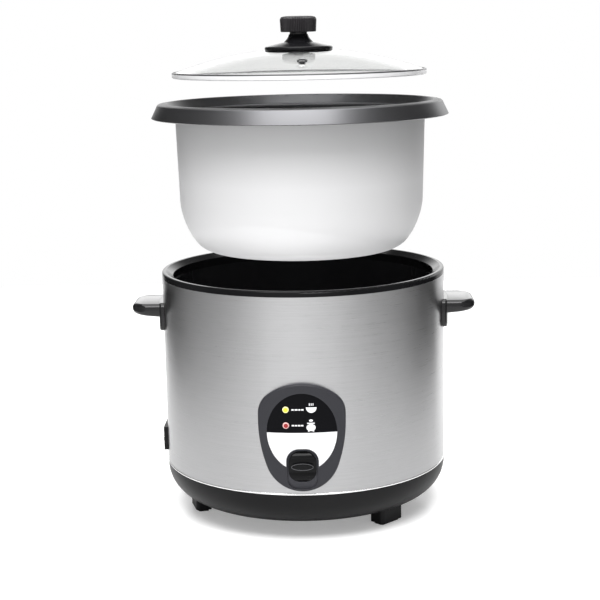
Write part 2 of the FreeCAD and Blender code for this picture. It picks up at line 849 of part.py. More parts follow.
def make_thermostat():
    """Sprung sensor cap, its ferrite, and the magnet that the lever lifts towards it."""
    piece("thermostat_housing", turned("thermostat_housing", [
        ("tube_inner", "tube_bottom"),
        ("tube_flange_radius", "tube_bottom"),
        ("tube_flange_radius", "liner_under"),
        ("tube_radius", "liner_under"),
        ("tube_radius", "tube_top"),
        ("tube_lip", "tube_top"),
        ("tube_lip", "tube_top - tube_flange"),
        ("tube_inner", "tube_top - tube_flange"),
    ]))
    piece("sensor_cap", turned("sensor_cap", [
        ("cap_radius - cap_wall", "cap_bottom"),
        ("cap_radius", "cap_bottom"),
        ("cap_radius", "plate_top - cap_round"),
        ("cap_radius - cap_round", "plate_top", "cap_round"),
        ("0", "plate_top"),
        ("0", "cap_inside"),
        ("cap_radius - cap_wall", "cap_inside"),
    ]))
    piece("ferrite_disc", rod("ferrite_disc", "ferrite_radius", "ferrite_thickness", z="ferrite_bottom"))
    piece("sensor_spring", ring("sensor_spring", "floor_bore", "floor_bore + spring_wall", "liner_floor",
                                "cap_bottom - liner_floor"))
    piece("magnet", turned("magnet", [
        ("0", "magnet_bottom"),
        ("magnet_flange_radius", "magnet_bottom"),
        ("magnet_flange_radius", "magnet_shoulder"),
        ("magnet_radius", "magnet_shoulder"),
        ("magnet_radius", "magnet_top"),
        ("0", "magnet_top"),
    ]))
    piece("magnet_spring", ring("magnet_spring", "magnet_radius + run_gap", "tube_inner - fit_gap",
                                "magnet_shoulder", "tube_top - tube_flange - magnet_shoulder"))
    piece("pull_rod", turned("pull_rod", [
        ("0", "arm_under - collar_gap - collar_height"),
        ("collar_radius", "arm_under - collar_gap - collar_height"),
        ("collar_radius", "arm_under - collar_gap"),
        ("rod_radius", "arm_under - collar_gap"),
        ("rod_radius", "arm_top + collar_gap"),
        ("collar_radius", "arm_top + collar_gap"),
        ("collar_radius", "arm_top + collar_gap + collar_height"),
        ("rod_radius", "arm_top + collar_gap + collar_height"),
        ("rod_radius", "magnet_bottom"),
        ("0", "magnet_bottom"),
    ]))


def make_lever():
    """Cranked arm on a pin, its bracket, the knob at its front and the switch that it presses."""
    arm = padded("lever_bar", "YZ_Plane", [
        ("-knob_back", "stem_under"),
        ("-crank_end", "stem_under"),
        ("-lever_crank_start", "arm_under"),
        ("lever_tail", "arm_under"),
        ("lever_tail", "arm_top"),
        ("-lever_crank_start", "arm_top"),
        ("-crank_end", "stem_top"),
        ("-knob_back", "stem_top"),
    ], "lever_width", True)
    hole = rod("lever_pin_hole", "pin_radius + run_gap", "lever_width * 2", "-lever_width",
               "-lever_pivot", "lever_axis", RIGHT)
    fork = block("lever_fork", ("-rod_radius - fit_gap", "rod_radius + fit_gap"),
                 ("-rod_radius * 2", "lever_tail * 2"),
                 ("arm_under - lever_thickness", "arm_top + lever_thickness"))
    piece("lever_arm", cut("lever_arm", arm, hole, fork))
    piece("lever_pin", rod("lever_pin", "pin_radius", "pin_length", "-pin_length / 2", "-lever_pivot",
                           "lever_axis", RIGHT))
    half = "(lever_width / 2 + cheek_gap + cheek_wall)"
    across = (f"-{half}", half)
    front = ("-lever_pivot - cheek_width / 2", "cheek_width / 2 - lever_pivot")
    body = block("bracket_block", across, front, ("lever_axis - cheek_foot", "liner_under"))
    gap = block("bracket_gap", ("-lever_width / 2 - cheek_gap", "lever_width / 2 + cheek_gap"),
                ("-lever_pivot - cheek_width", "cheek_width - lever_pivot"),
                ("lever_axis - cheek_foot * 2", "liner_under - cheek_wall"))
    pin_hole = rod("bracket_pin_hole", "pin_radius + run_gap", f"({half} + cheek_wall) * 2",
                   f"-{half} - cheek_wall", "-lever_pivot", "lever_axis", RIGHT)
    piece("lever_bracket", cut("lever_bracket", body, gap, pin_hole))
    make_knob()
    make_switch()


def arch(name, half, bottom, top, corner, depth="0", length="clear_reach"):
    """Upright prism with rounded corners that reaches forward from a depth in front of the axis."""
    body = padded(name, "XZ_Plane", [
        (f"-{half}", f"{bottom} + {corner}"),
        (f"{corner} - {half}", bottom, corner),
        (f"{half} - {corner}", bottom),
        (half, f"{bottom} + {corner}", corner),
        (half, f"{top} - {corner}"),
        (f"{half} - {corner}", top, corner),
        (f"{corner} - {half}", top),
        (f"-{half}", f"{top} - {corner}", corner),
    ], length)
    return place(body, y=f"-({depth})")


def oval(name, half_width, half_height, length, depth, level):
    """Elliptical prism that reaches forward from a depth in front of the axis."""
    tall = value(half_height) > value(half_width)
    ellipse = doc.addObject("Part::Ellipse", name + "_outline")
    facing = FreeCAD.Rotation(RIGHT, 90)
    if tall:
        facing = facing.multiply(FreeCAD.Rotation(UP, 90))
    ellipse.Placement = FreeCAD.Placement(FreeCAD.Vector(), facing)
    longer, shorter = (half_height, half_width) if tall else (half_width, half_height)
    bind(ellipse, MajorRadius=longer, MinorRadius=shorter)
    place(ellipse, y=f"-({depth})", z=level)
    prism = doc.addObject("Part::Extrusion", name)
    prism.Base = ellipse
    prism.DirMode = "Custom"
    prism.Dir = FRONT
    prism.Solid = True
    return bind(prism, LengthFwd=length)


def make_knob():
    """Paddle with an oval nose that the finger presses."""
    paddle = arch("knob_paddle", "(knob_width / 2)", "knob_bottom", "(knob_bottom + knob_height)",
                  "knob_corner", "knob_back", "knob_thickness")
    nose = oval("knob_nose", "nose_width / 2", "nose_height / 2", "knob_thickness + nose_proud",
                "knob_back", "knob_bottom + nose_rise")
    piece("lever_knob", fuse("lever_knob",
                             rounded("knob_paddle_round", paddle, "paddle_round", at_front),
                             rounded("knob_nose_round", nose, "nose_round", at_front)))


def make_switch():
    """Snap switch under the arm, with its plunger and bracket."""
    top = "(arm_under - switch_drop)"
    bottom = f"({top} - switch_height)"
    along = ("-switch_place - switch_length / 2", "switch_length / 2 - switch_place")
    side = "(switch_width - lever_width / 2)"
    body = block("switch_case", ("-lever_width / 2", side), along, (bottom, top))
    well = rod("switch_well", "plunger_radius + run_gap", "plunger_depth * 2", y="-switch_place",
               z=f"{top} - plunger_depth - fit_gap - lever_drop / 2")
    piece("switch_body", cut("switch_body", body, well))
    piece("switch_plunger", rod("switch_plunger", "plunger_radius",
                                f"arm_under - fit_gap - {top} + plunger_depth", y="-switch_place",
                                z=f"{top} - plunger_depth"))
    web = block("switch_web", (side, f"{side} + switch_bracket_sheet"), along, (bottom, "liner_under"))
    tab = block("switch_tab", (side, f"{side} + switch_bracket_tab"), along,
                ("liner_under - switch_bracket_sheet", "liner_under"))
    piece("switch_bracket", fuse("switch_bracket", web, tab))


def stem_slot(name):
    """Tool for the slot that the lever's stem moves in."""
    half = "(lever_width / 2 + fit_gap)"
    return block(name, (f"-{half}", half), ("-clear_reach", "-liner_radius"),
                 ("stem_under - lever_drop - fit_gap", "stem_top + fit_gap"))


def lamp_tools(name, gap):
    """Tools for the two lamp holes."""
    tools = []
    for index, level in enumerate(("warm_level", "cook_level")):
        tools.append(rod(f"{name}_{index}", f"lamp_radius + {gap}", "clear_reach - liner_radius",
                         "-lamp_place", "-liner_radius", level, FRONT))
    return tools


def peg(name, side, gap):
    """Peg on the back of the bezel that locks it in the jacket."""
    depth = "(sqrt(shell_radius ^ 2 - peg_place ^ 2) - peg_grip)"
    return rod(f"{name}_{side + 1}", f"peg_radius + {gap}", "peg_length", f"{side} * peg_place",
               f"-{depth}", "bezel_bottom + peg_rise", FRONT)


def make_panel():
    """Shield-shaped bezel, two-tone fascia, lamps and their board."""
    shield = padded("bezel_shield", "XZ_Plane", [
        ("-chin_half", "chin_level", "side_radius"),
        ("chin_half", "chin_level", "chin_radius"),
        ("bezel_half", "flank_level", "side_radius"),
        ("bezel_half", "waist_level"),
        ("crown_half", "crown_level", "shoulder_radius"),
        ("-crown_half", "crown_level", "crown_radius"),
        ("-bezel_half", "waist_level", "shoulder_radius"),
        ("-bezel_half", "flank_level"),
    ], "clear_reach")
    wrap = ring("bezel_wrap", "shell_radius", "bezel_radius", "bezel_bottom - bezel_proud",
                "bezel_top - bezel_bottom + 2 * bezel_proud")
    blank = rounded("bezel_blank", common("bezel_curve", shield, wrap), "bezel_round",
                    on_radius("bezel_radius"))
    pegged = fuse("bezel_pegged", blank, *[peg("bezel_peg", side, "0") for side in (-1, 1)])
    seat = cut("bezel_seat",
               oval("bezel_seat_oval", "fascia_half_width + run_gap", "fascia_half_height + run_gap",
                    "clear_reach", "0", "fascia_level"),
               rod("bezel_seat_core", "fascia_back", "bezel_top * 2"),
               arch("bezel_seat_arch", "arch_half", "arch_foot", "arch_top", "arch_round"))
    recess = arch("bezel_recess", "recess_half", "recess_bottom", "recess_top", "recess_round",
                  "recess_floor")
    piece("control_bezel", cut("control_bezel", pegged, seat, recess, stem_slot("bezel_slot"),
                               *lamp_tools("bezel_lamp_hole", "fit_gap")))
    skin = common("fascia_skin",
                  oval("fascia_oval", "fascia_half_width", "fascia_half_height", "clear_reach", "0",
                       "fascia_level"),
                  ring("fascia_wrap", "fascia_back", "fascia_radius", "bezel_bottom",
                       "bezel_top - bezel_bottom"))
    piece("fascia", cut("fascia", skin,
                        arch("fascia_arch", "(arch_half + run_gap)", "arch_foot", "(arch_top + run_gap)",
                             "arch_round"),
                        *lamp_tools("fascia_lamp_hole", "run_gap")))
    for label, level in (("warm_lamp", "warm_level"), ("cook_lamp", "cook_level")):
        lens = rod(label + "_rod", "lamp_radius",
                   "sqrt(fascia_radius ^ 2 - lamp_place ^ 2) + lamp_dome - board_depth",
                   "-lamp_place", "-board_depth", level, FRONT)
        piece(label, rounded(label, lens, "lamp_dome", at_front))
    piece("lamp_board", block("lamp_board",
                              ("-lamp_place - board_width / 2", "board_width / 2 - lamp_place"),
                              ("-board_depth", "board_sheet - board_depth"),
                              ("cook_level - board_margin", "warm_level + board_margin")))


def make_inlet():
    """Power socket let into the left side, with its pins and screws."""
    half = "(inlet_width / 2)"
    flange = cut("inlet_flange",
                 block("inlet_face", ("-inlet_front", "-liner_radius"), (f"-{half}", half),
                       ("inlet_bottom", "inlet_bottom + inlet_height")),
                 rod("inlet_shell", "shell_radius", "shell_top"))
    half = "(inlet_body_width / 2)"
    tall = "(inlet_body_height / 2)"
    body = block("inlet_body", ("-inlet_front", "-inlet_end"), (f"-{half}", half),
                 (f"inlet_middle - {tall}", f"inlet_middle + {tall}"))
    socket = block("inlet_socket_space", ("-clear_reach", "-inlet_socket"),
                   (f"inlet_wall - {half}", f"{half} - inlet_wall"),
                   (f"inlet_middle - {tall} + inlet_wall", f"inlet_middle + {tall} - inlet_wall"))
    spots = [("0", "inlet_middle + inlet_pin_step / 2"),
             ("-inlet_pin_spread", "inlet_middle - inlet_pin_step / 2"),
             ("inlet_pin_spread", "inlet_middle - inlet_pin_step / 2")]
    pins = []
    bored = []
    for index, (y, z) in enumerate(spots):
        pins.append(rod(f"inlet_pin_{index}", "inlet_pin_radius",
                        "inlet_pin_length + inlet_back + inlet_tab_length",
                        "-inlet_socket - inlet_pin_length", y, z, RIGHT))
        bored.append(rod(f"inlet_pin_bore_{index}", "inlet_pin_radius", "inlet_back * 3",
                         "-inlet_socket - inlet_back", y, z, RIGHT))
    screws = []
    for side in (-1, 1):
        y = f"{side} * inlet_screw_place"
        head = "(inlet_front - screw_head_height / 2)"
        bored.append(rod(f"inlet_screw_bore_{side + 1}", "screw_radius", "inlet_front - liner_radius",
                         "-inlet_front", y, "inlet_middle", RIGHT))
        bored.append(rod(f"inlet_screw_seat_{side + 1}", "screw_head_radius", "screw_head_height / 2",
                         "-inlet_front", y, "inlet_middle", RIGHT))
        body_screw = turn(screw(f"inlet_screw_{side + 1}", "inlet_proud * 2", True), BACK,
                          "-90")
        screws.append(place(body_screw, f"-{head}", y, "inlet_middle"))
    piece("power_inlet", cut("power_inlet", fuse("inlet_solid", flange, body), socket, *bored))
    piece("inlet_pins", group("inlet_pins", pins))
    piece("inlet_screws", group("inlet_screws", screws))


def make_handles():
    """Grip on a curved plate, on the right and mirrored on the left, with the screws inside."""
    half = "(handle_plate_width / 2)"
    low = "(handle_top - handle_plate_height)"
    corner = "handle_plate_corner"
    card = padded("handle_card", "YZ_Plane", [
        (f"-{half}", f"{low} + {corner}"),
        (f"{corner} - {half}", low, corner),
        (f"{half} - {corner}", low),
        (half, f"{low} + {corner}", corner),
        (half, f"handle_top - {corner}"),
        (f"{half} - {corner}", "handle_top", corner),
        (f"{corner} - {half}", "handle_top"),
        (f"-{half}", f"handle_top - {corner}", corner),
    ], "handle_reach")
    wrap = ring("handle_wrap", "shell_radius", "plate_face", f"{low} - handle_plate_height",
                "handle_plate_height * 3")
    plate = rounded("handle_plate", common("handle_curve", card, wrap), "handle_round",
                    on_radius("plate_face"))
    grip_half = "(grip_width / 2)"
    wing = padded("grip_wing", "XY_Plane", [
        ("liner_radius", f"-{grip_half}"),
        ("handle_reach - grip_corner", f"-{grip_half}"),
        ("handle_reach", f"grip_corner - {grip_half}", "grip_corner"),
        ("handle_reach", f"{grip_half} - grip_corner"),
        ("handle_reach - grip_corner", grip_half, "grip_corner"),
        ("liner_radius", grip_half),
    ], "grip_root")
    place(wing, z="grip_top - grip_root")
    wedge = padded("grip_wedge", "XZ_Plane", [
        ("shell_radius", "grip_top - grip_root - handle_round"),
        ("handle_reach + handle_round", "grip_top - grip_root - handle_round"),
        ("handle_reach + handle_round", "grip_top - grip_tip"),
        ("handle_reach", "grip_top - grip_tip"),
        ("shell_radius", "grip_top - grip_root"),
    ], "handle_plate_width * 2", True)

    def grip_edge(edge, whole):
        box = edge.BoundBox
        level = box.ZMax - box.ZMin < value("grip_root - grip_tip") + 1e-3
        return level and box.XMax > value("plate_face")

    grip = rounded("grip_soft", cut("grip_blank", wing, wedge), "handle_round", grip_edge)
    trimmed = cut("grip_trimmed", grip, rod("grip_shell", "shell_radius", "shell_top"))
    bores_in = []
    screws = []
    for side in (-1, 1):
        y = f"{side} * handle_screw_place"
        seat = "(sqrt(shell_inner ^ 2 - (handle_screw_place + screw_head_radius) ^ 2))"
        bores_in.append(rod(f"handle_bore_{side + 1}", "screw_radius", "handle_screw_length", seat, y,
                            "handle_screw_level", RIGHT))
        for way in (-1, 1):
            one = screw(f"handle_screw_{side + 1}_{way + 1}", "handle_screw_length", True)
            turn(one, BACK, f"{-90 * way}")
            screws.append(place(one, f"{way} * {seat}", y, "handle_screw_level"))
    right = cut("handle_right", fuse("handle_solid", plate, trimmed), *bores_in)
    piece("handle_right", right)
    left = doc.addObject("Part::Mirroring", "handle_left")
    left.Source = right
    left.Normal = RIGHT
    piece("handle_left", left)
    piece("handle_screws", group("handle_screws", screws))


def make_warmers():
    """Keep-warm band on the back of the liner, and the thermal fuse in its clip."""
    disc = rod("warm_band_disc", "liner_outer + run_gap + warm_band_sheet", "warm_band_height")
    core = rod("warm_band_core", "liner_outer + run_gap", "warm_band_height")
    for sector in (disc, core):
        bind(sector, Angle="warm_band_angle")
        turn(sector, UP, "90 - warm_band_angle / 2")
        place(sector, z="liner_floor + warm_band_rise")
    piece("keep_warm_band", cut("keep_warm_band", disc, core))
    level = "(liner_under - fuse_radius - clip_wall)"
    piece("thermal_fuse", rod("thermal_fuse", "fuse_radius", "fuse_length", "fuse_place", "fuse_place",
                              level, RIGHT))
    reach = "(fuse_radius + clip_wall)"
    middle = "(fuse_place + fuse_length / 2)"
    clip = block("clip_block", (f"{middle} - clip_length / 2", f"{middle} + clip_length / 2"),
                 (f"fuse_place - {reach}", f"fuse_place + {reach}"), (f"{level} - {reach}", "liner_under"))
    hole = rod("clip_bore", "fuse_radius", "fuse_length", "fuse_place", "fuse_place", level, RIGHT)
    piece("fuse_clip", cut("fuse_clip", clip, hole))


def make_pot():
    """Drawn pot whose flange is a lip with a sloped skirt, made from one sheet."""
    sketch = doc.addObject("Sketcher::SketchObject", "pot_section")
    sketch.Placement = FreeCAD.Placement(FreeCAD.Vector(), FreeCAD.Rotation(RIGHT, 90))
    draw(sketch, [
        ("0", "pot_bottom + pot_sheet"),
        ("pot_floor_radius", "pot_bottom + pot_sheet"),
        ("heel_radius - pot_sheet * cos(pot_side_turn)", "heel_level + pot_sheet * sin(pot_side_turn)",
         "pot_heel_curve - pot_sheet"),
        ("pot_wall_low - pot_sheet", "side_start", "pot_side_curve - pot_sheet"),
        ("ledge_inner", "ledge_level - pot_sheet"),
        ("ledge_inner + pot_sheet", "ledge_level", "-pot_sheet"),
        ("ledge_outer", "ledge_level"),
        ("mouth_radius - mouth_round / 2", "mouth - mouth_round"),
        ("mouth_radius + mouth_round / 2", "mouth", "-mouth_round"),
        ("lip_outer", "mouth - lip_fall"),
        ("shoulder_outer", "mouth - lip_fall - shoulder_fall", "-(shoulder_width + shoulder_fall)"),
        ("skirt_radius", "mouth - skirt_drop"),
    ], closed=False)
    band = doc.addObject("Part::Offset2D", "pot_band")
    band.Source = sketch
    band.Mode = "Skin"
    band.Join = "Arc"
    band.Fill = True
    bind(band, Value="-pot_sheet")
    pot = doc.addObject("Part::Revolution", "inner_pot")
    pot.Source = band
    pot.Axis = UP
    pot.Angle = 360
    pot.Solid = True
    piece("inner_pot", pot)


def on_dome(thing):
    """Stand a piece on the dome at the steam vent, square to the glass."""
    lean = value("asin(vent_place / dome_radius)")
    facing = FreeCAD.Rotation(UP, value("vent_angle")).multiply(FreeCAD.Rotation(RIGHT, lean))
    spot = facing.multVec(FreeCAD.Vector(0, 0, value("dome_radius")))
    thing.Placement = FreeCAD.Placement(spot + FreeCAD.Vector(0, 0, value("dome_centre")), facing)
    return thing


def make_lid():
    """Glass dome in a steel band, with a steam eyelet."""
    dome = turned("lid_dome", [
        ("glass_bore", "dome_centre + sqrt(dome_inner ^ 2 - glass_bore ^ 2)"),
        ("glass_radius", "dome_centre + sqrt(dome_inner ^ 2 - glass_radius ^ 2)", "-dome_inner"),
        ("glass_radius", "glass_edge"),
        ("glass_bore", "dome_centre + sqrt(dome_radius ^ 2 - glass_bore ^ 2)", "dome_radius"),
    ])
    vent_hole = turned("vent_hole", [
        ("0", "-glass_thickness * 2"),
        ("vent_radius", "-glass_thickness * 2"),
        ("vent_radius", "glass_thickness"),
        ("0", "glass_thickness"),
    ])
    piece("lid_glass", cut("lid_glass", dome, on_dome(vent_hole)))
    eyelet = turned("vent_eyelet", [
        ("vent_radius - run_gap - eyelet_wall", "-glass_thickness"),
        ("vent_radius - run_gap", "-glass_thickness"),
        ("vent_radius - run_gap", "run_gap"),
        ("vent_radius + eyelet_flange", "run_gap"),
        ("vent_radius + eyelet_flange", "run_gap + eyelet_sheet"),
        ("vent_radius - run_gap - eyelet_wall", "run_gap + eyelet_sheet"),
    ])
    piece("vent_eyelet", on_dome(eyelet))
    outer = "band_radius"
    inner = "(band_radius - band_sheet)"
    piece("lid_band", turned("lid_band", [
        ("glass_radius - band_lip", "lid_foot"),
        (outer, "lid_foot"),
        (outer, "lid_foot + band_height"),
        (f"{inner} - band_lip / 2", "lid_foot + band_height"),
        (f"{inner} - band_lip / 2", "lid_foot + band_height - band_sheet"),
        (inner, "lid_foot + band_height - band_sheet"),
        (inner, "lid_foot + band_sheet"),
        ("glass_radius - band_lip", "lid_foot + band_sheet"),
    ]))


def make_lid_knob():
    """Conical skirt, gripping knob, and the screw and washer that clamp them to the glass."""
    piece("knob_skirt", turned("knob_skirt", [
        ("knob_screw_radius + fit_gap", "dome_centre + sqrt(dome_radius ^ 2 - knob_screw_radius ^ 2)"),
        ("skirt_disc_radius", "skirt_level", "-dome_radius"),
        ("skirt_disc_radius", "skirt_level + skirt_disc_edge"),
        ("collar_top_radius", "skirt_level + skirt_disc_rise"),
        ("knob_screw_radius + fit_gap", "skirt_level + skirt_disc_rise"),
    ]))
    piece("lid_knob", turned("lid_knob", [
        ("knob_screw_radius", "skirt_level + skirt_disc_rise"),
        ("collar_top_radius", "skirt_level + skirt_disc_rise"),
        ("neck_radius", "skirt_level + neck_rise", "-neck_sweep"),
        ("neck_radius", "skirt_level + grip_bottom_rise"),
        ("grip_bottom_radius", "skirt_level + grip_bottom_rise"),
        ("grip_top_radius", "skirt_level + grip_top_rise - grip_edge"),
        ("grip_top_radius - grip_edge", "skirt_level + grip_top_rise", "grip_edge"),
        ("0", "skirt_level + grip_top_rise"),
        ("0", "skirt_level + skirt_disc_rise + knob_screw_grip"),
        ("knob_screw_radius", "skirt_level + skirt_disc_rise + knob_screw_grip"),
    ]))
    crown = "(dome_centre + sqrt(dome_inner ^ 2 - washer_radius ^ 2))"
    piece("knob_washer", ring("knob_washer", "knob_screw_radius + run_gap", "washer_radius",
                              f"{crown} - washer_thickness", "washer_thickness"))
    bottom = f"({crown} - washer_thickness - screw_head_height)"
    piece("knob_screw", turned("knob_screw", [
        ("0", bottom),
        ("knob_screw_radius * 2", bottom),
        ("knob_screw_radius * 2", f"{bottom} + screw_head_height"),
        ("knob_screw_radius", f"{bottom} + screw_head_height"),
        ("knob_screw_radius", "skirt_level + skirt_disc_rise + knob_screw_grip"),
        ("0", "skirt_level + skirt_disc_rise + knob_screw_grip"),
    ]))


def save():
    """Check every object and every piece, then write one file for each piece."""
    doc.recompute()
    faults = [thing.Name for thing in doc.Objects if {"Invalid", "Error"} & set(thing.State)]
    for thing in pieces:
        shape = thing.Shape
        if shape.isNull() or not shape.isValid() or not shape.Solids:
            faults.append(thing.Label)
    if faults:
        raise RuntimeError("failed: " + ", ".join(faults))
    os.makedirs("parts", exist_ok=True)
    for thing in pieces:
        thing.Shape.exportStep(f"parts/{thing.Label}.step")
        box = thing.Shape.BoundBox
        print(f"{thing.Label}: {len(thing.Shape.Solids)} solids, {thing.Shape.Volume / 1000:.2f} cm3, "
              f"x {box.XMin:.1f} to {box.XMax:.1f}, y {box.YMin:.1f} to {box.YMax:.1f}, "
              f"z {box.ZMin:.1f} to {box.ZMax:.1f}")


make_base()
make_cover()
make_shell()
make_rim()
make_liner()
make_heater()
make_thermostat()
make_lever()
make_panel()
make_inlet()
make_handles()
make_warmers()
make_pot()
make_lid()
make_lid_knob()
save()
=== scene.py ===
import math

import bmesh
import bpy
from bpy.props import FloatProperty, FloatVectorProperty, IntProperty, PointerProperty
from mathutils import Matrix, Vector


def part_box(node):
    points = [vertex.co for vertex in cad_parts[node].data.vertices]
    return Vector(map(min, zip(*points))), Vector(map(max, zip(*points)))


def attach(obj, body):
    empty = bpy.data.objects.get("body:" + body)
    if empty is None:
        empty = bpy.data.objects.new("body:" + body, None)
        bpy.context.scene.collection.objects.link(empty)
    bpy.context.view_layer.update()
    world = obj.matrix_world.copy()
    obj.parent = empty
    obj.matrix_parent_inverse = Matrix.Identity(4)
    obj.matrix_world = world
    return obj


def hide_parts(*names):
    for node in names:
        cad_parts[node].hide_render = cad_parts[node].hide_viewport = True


bl_info = {
    "name": "Rice cooker dressing",
    "version": (1, 0, 0),
    "blender": (4, 5, 0),
    "location": "View3D > Sidebar > Rice cooker",
    "description": "Gives the packed rice cooker its finished pieces, materials and studio",
    "category": "Object",
}

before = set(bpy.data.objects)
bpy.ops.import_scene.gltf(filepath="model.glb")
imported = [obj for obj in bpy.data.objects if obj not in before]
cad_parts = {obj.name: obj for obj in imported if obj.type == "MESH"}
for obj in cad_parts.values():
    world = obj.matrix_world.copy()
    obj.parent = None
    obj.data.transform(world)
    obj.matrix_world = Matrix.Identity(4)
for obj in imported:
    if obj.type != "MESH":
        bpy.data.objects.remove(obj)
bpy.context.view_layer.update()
MM = 0.001

POT_LOW, POT_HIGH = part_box("inner_pot")
BAND_LOW, BAND_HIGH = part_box("lid_band")
SKIRT_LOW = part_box("knob_skirt")[0]
SHELL_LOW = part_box("outer_shell")[0]

# Points closer than the first are one, and points closer than the second lie on a plane
MERGE_GAP = 1e-6
PLANE_GAP = 1e-7


# Sizes and colours that a user would change

class CookerSizes(bpy.types.PropertyGroup):
    """Sizes of the pieces made here"""
    pot_sheet: FloatProperty(name="Pot sheet", description="Thickness of the pot's metal",
                             default=1.6 * MM, unit="LENGTH")
    knob_ribs: IntProperty(name="Knob ribs", description="Fine upright ribs round the lid's knob",
                           default=60)
    rib_depth: FloatProperty(name="Rib depth", description="How far the knob's ribs stand out",
                             default=0.5 * MM, unit="LENGTH")
    turns: IntProperty(name="Turning steps", description="Steps round a turned piece", default=180)


class CookerColours(bpy.types.PropertyGroup):
    """Main colours of the finishes"""
    steel: FloatVectorProperty(name="Steel", description="Brushed jacket", subtype="COLOR",
                               default=(0.42, 0.42, 0.425))
    pot: FloatVectorProperty(name="Pot", description="Satin outside of the pot", subtype="COLOR",
                             default=(0.5, 0.5, 0.505))
    coating: FloatVectorProperty(name="Coating", description="Non-stick coating", subtype="COLOR",
                                 default=(0.05, 0.05, 0.052))
    black: FloatVectorProperty(name="Gloss black", description="Grips, rim and knobs", subtype="COLOR",
                               default=(0.006, 0.006, 0.0065))
    base: FloatVectorProperty(name="Base black", description="Base and feet", subtype="COLOR",
                              default=(0.009, 0.009, 0.0095))
    bezel: FloatVectorProperty(name="Bezel grey", description="Surround of the panel", subtype="COLOR",
                               default=(0.034, 0.034, 0.039))


def sizes():
    """Sizes as the user has set them."""
    return bpy.context.scene.cooker_sizes


def colours():
    """Colours as the user has set them."""
    return bpy.context.scene.cooker_colours


# Shared surface effects

def new_group(name, outputs):
    """Start a shader node group that gives out plain values."""
    group = bpy.data.node_groups.new(name, "ShaderNodeTree")
    for label in outputs:
        group.interface.new_socket(label, in_out="OUTPUT", socket_type="NodeSocketFloat")
    return group, group.nodes.new("NodeGroupOutput")


def stretched_noise(tree, stretch, detail):
    """Noise on the piece's own coordinates, stretched along its axes."""
    place = tree.nodes.new("ShaderNodeTexCoord")
    mapping = tree.nodes.new("ShaderNodeMapping")
    mapping.inputs["Scale"].default_value = stretch
    noise = tree.nodes.new("ShaderNodeTexNoise")
    noise.inputs["Scale"].default_value = 1
    noise.inputs["Detail"].default_value = detail
    tree.links.new(place.outputs["Object"], mapping.inputs["Vector"])
    tree.links.new(mapping.outputs["Vector"], noise.inputs["Vector"])
    return noise


def brush_lines():
    """Fine level lines round the body, in long and short strokes."""
    group, leave = new_group("Brush lines", ["Lines"])
    long_strokes = stretched_noise(group, (9, 9, 2400), 3)
    short_strokes = stretched_noise(group, (70, 70, 5200), 2)
    blend = group.nodes.new("ShaderNodeMath")
    blend.operation = "MULTIPLY_ADD"
    blend.inputs[1].default_value = 0.6
    soften = group.nodes.new("ShaderNodeMath")
    soften.operation = "MULTIPLY"
    soften.inputs[1].default_value = 0.4
    group.links.new(short_strokes.outputs["Fac"], soften.inputs[0])
    group.links.new(long_strokes.outputs["Fac"], blend.inputs[0])
    group.links.new(soften.outputs[0], blend.inputs[2])
    group.links.new(blend.outputs[0], leave.inputs["Lines"])


def moulded_grain():
    """Fine even grain of a moulded or cast surface, with broad soft patches."""
    group, leave = new_group("Moulded grain", ["Grain", "Patches"])
    grain = stretched_noise(group, (1900, 1900, 1900), 2)
    patches = stretched_noise(group, (14, 14, 14), 2)
    group.links.new(grain.outputs["Fac"], leave.inputs["Grain"])
    group.links.new(patches.outputs["Fac"], leave.inputs["Patches"])


# Materials

# Ends of a mask between which a tint or a value changes
MASK_ENDS = (0.3, 0.7)

# Where a finish or a painted light, highlight or shade changes: distances from the upright axis, heights,
# and distances from a lamp's middle
# Painted light: within this reach the bezel is made paler, to lift the shade where it sinks behind the
# switch paddle
RECESS_PAINTED_LIGHT_REACH = (142.0 * MM, 142.4 * MM)
# Painted highlight: outward of this reach the pot's coating is made paler, and inward of it darker
FLANGE_HIGHLIGHT_REACH = (137 * MM, 139 * MM)
# Painted shade: over these heights the pot is darkened towards the flange, for the flange's shadow
POT_PAINTED_SHADE = (POT_HIGH.z - 75 * MM, POT_HIGH.z - 15 * MM)
SEAL_LINE = (BAND_HIGH.z - 1.4 * MM, BAND_HIGH.z - 1.3 * MM)
PANEL_LINE = (109.35 * MM, 109.45 * MM)
LENS_EDGE = (1.6 * MM, 2.6 * MM)

# Colours of the band and its seal line, and of the two halves of the fascia
BAND_STEEL = (0.85, 0.85, 0.86)
BAND_SEAL = (0.04, 0.04, 0.042)
FASCIA_PALE = (0.9, 0.9, 0.92)
FASCIA_DARK = (0.002, 0.002, 0.003)


def material(name, colour, metallic, roughness):
    """Start a material and give back its tree and its shader."""
    made = bpy.data.materials.new(name)
    made.use_nodes = True
    shader = made.node_tree.nodes["Principled BSDF"]
    shader.inputs["Base Color"].default_value = (*colour, 1)
    shader.inputs["Metallic"].default_value = metallic
    shader.inputs["Roughness"].default_value = roughness
    return made, made.node_tree, shader


def effect(tree, group_name):
    """Place a shared effect in a material."""
    node = tree.nodes.new("ShaderNodeGroup")
    node.node_tree = bpy.data.node_groups[group_name]
    return node


def spread(tree, source, start, end, low=0.0, high=1.0):
    """Lead a value from one range to another."""
    node = tree.nodes.new("ShaderNodeMapRange")
    node.inputs["From Min"].default_value = start
    node.inputs["From Max"].default_value = end
    node.inputs["To Min"].default_value = low
    node.inputs["To Max"].default_value = high
    tree.links.new(source, node.inputs["Value"])
    return node


def vary(tree, source, low, high, target):
    """Lead a mask to a value between two limits."""
    tree.links.new(spread(tree, source, *MASK_ENDS, low, high).outputs["Result"], target)


def tint(tree, source, low, high, target):
    """Lead a mask to a colour between two limits."""
    ramp = tree.nodes.new("ShaderNodeValToRGB")
    for element, spot, colour in zip(ramp.color_ramp.elements, MASK_ENDS, (low, high)):
        element.position = spot
        element.color = (*colour, 1)
    tree.links.new(source, ramp.inputs["Fac"])
    tree.links.new(ramp.outputs["Color"], target)


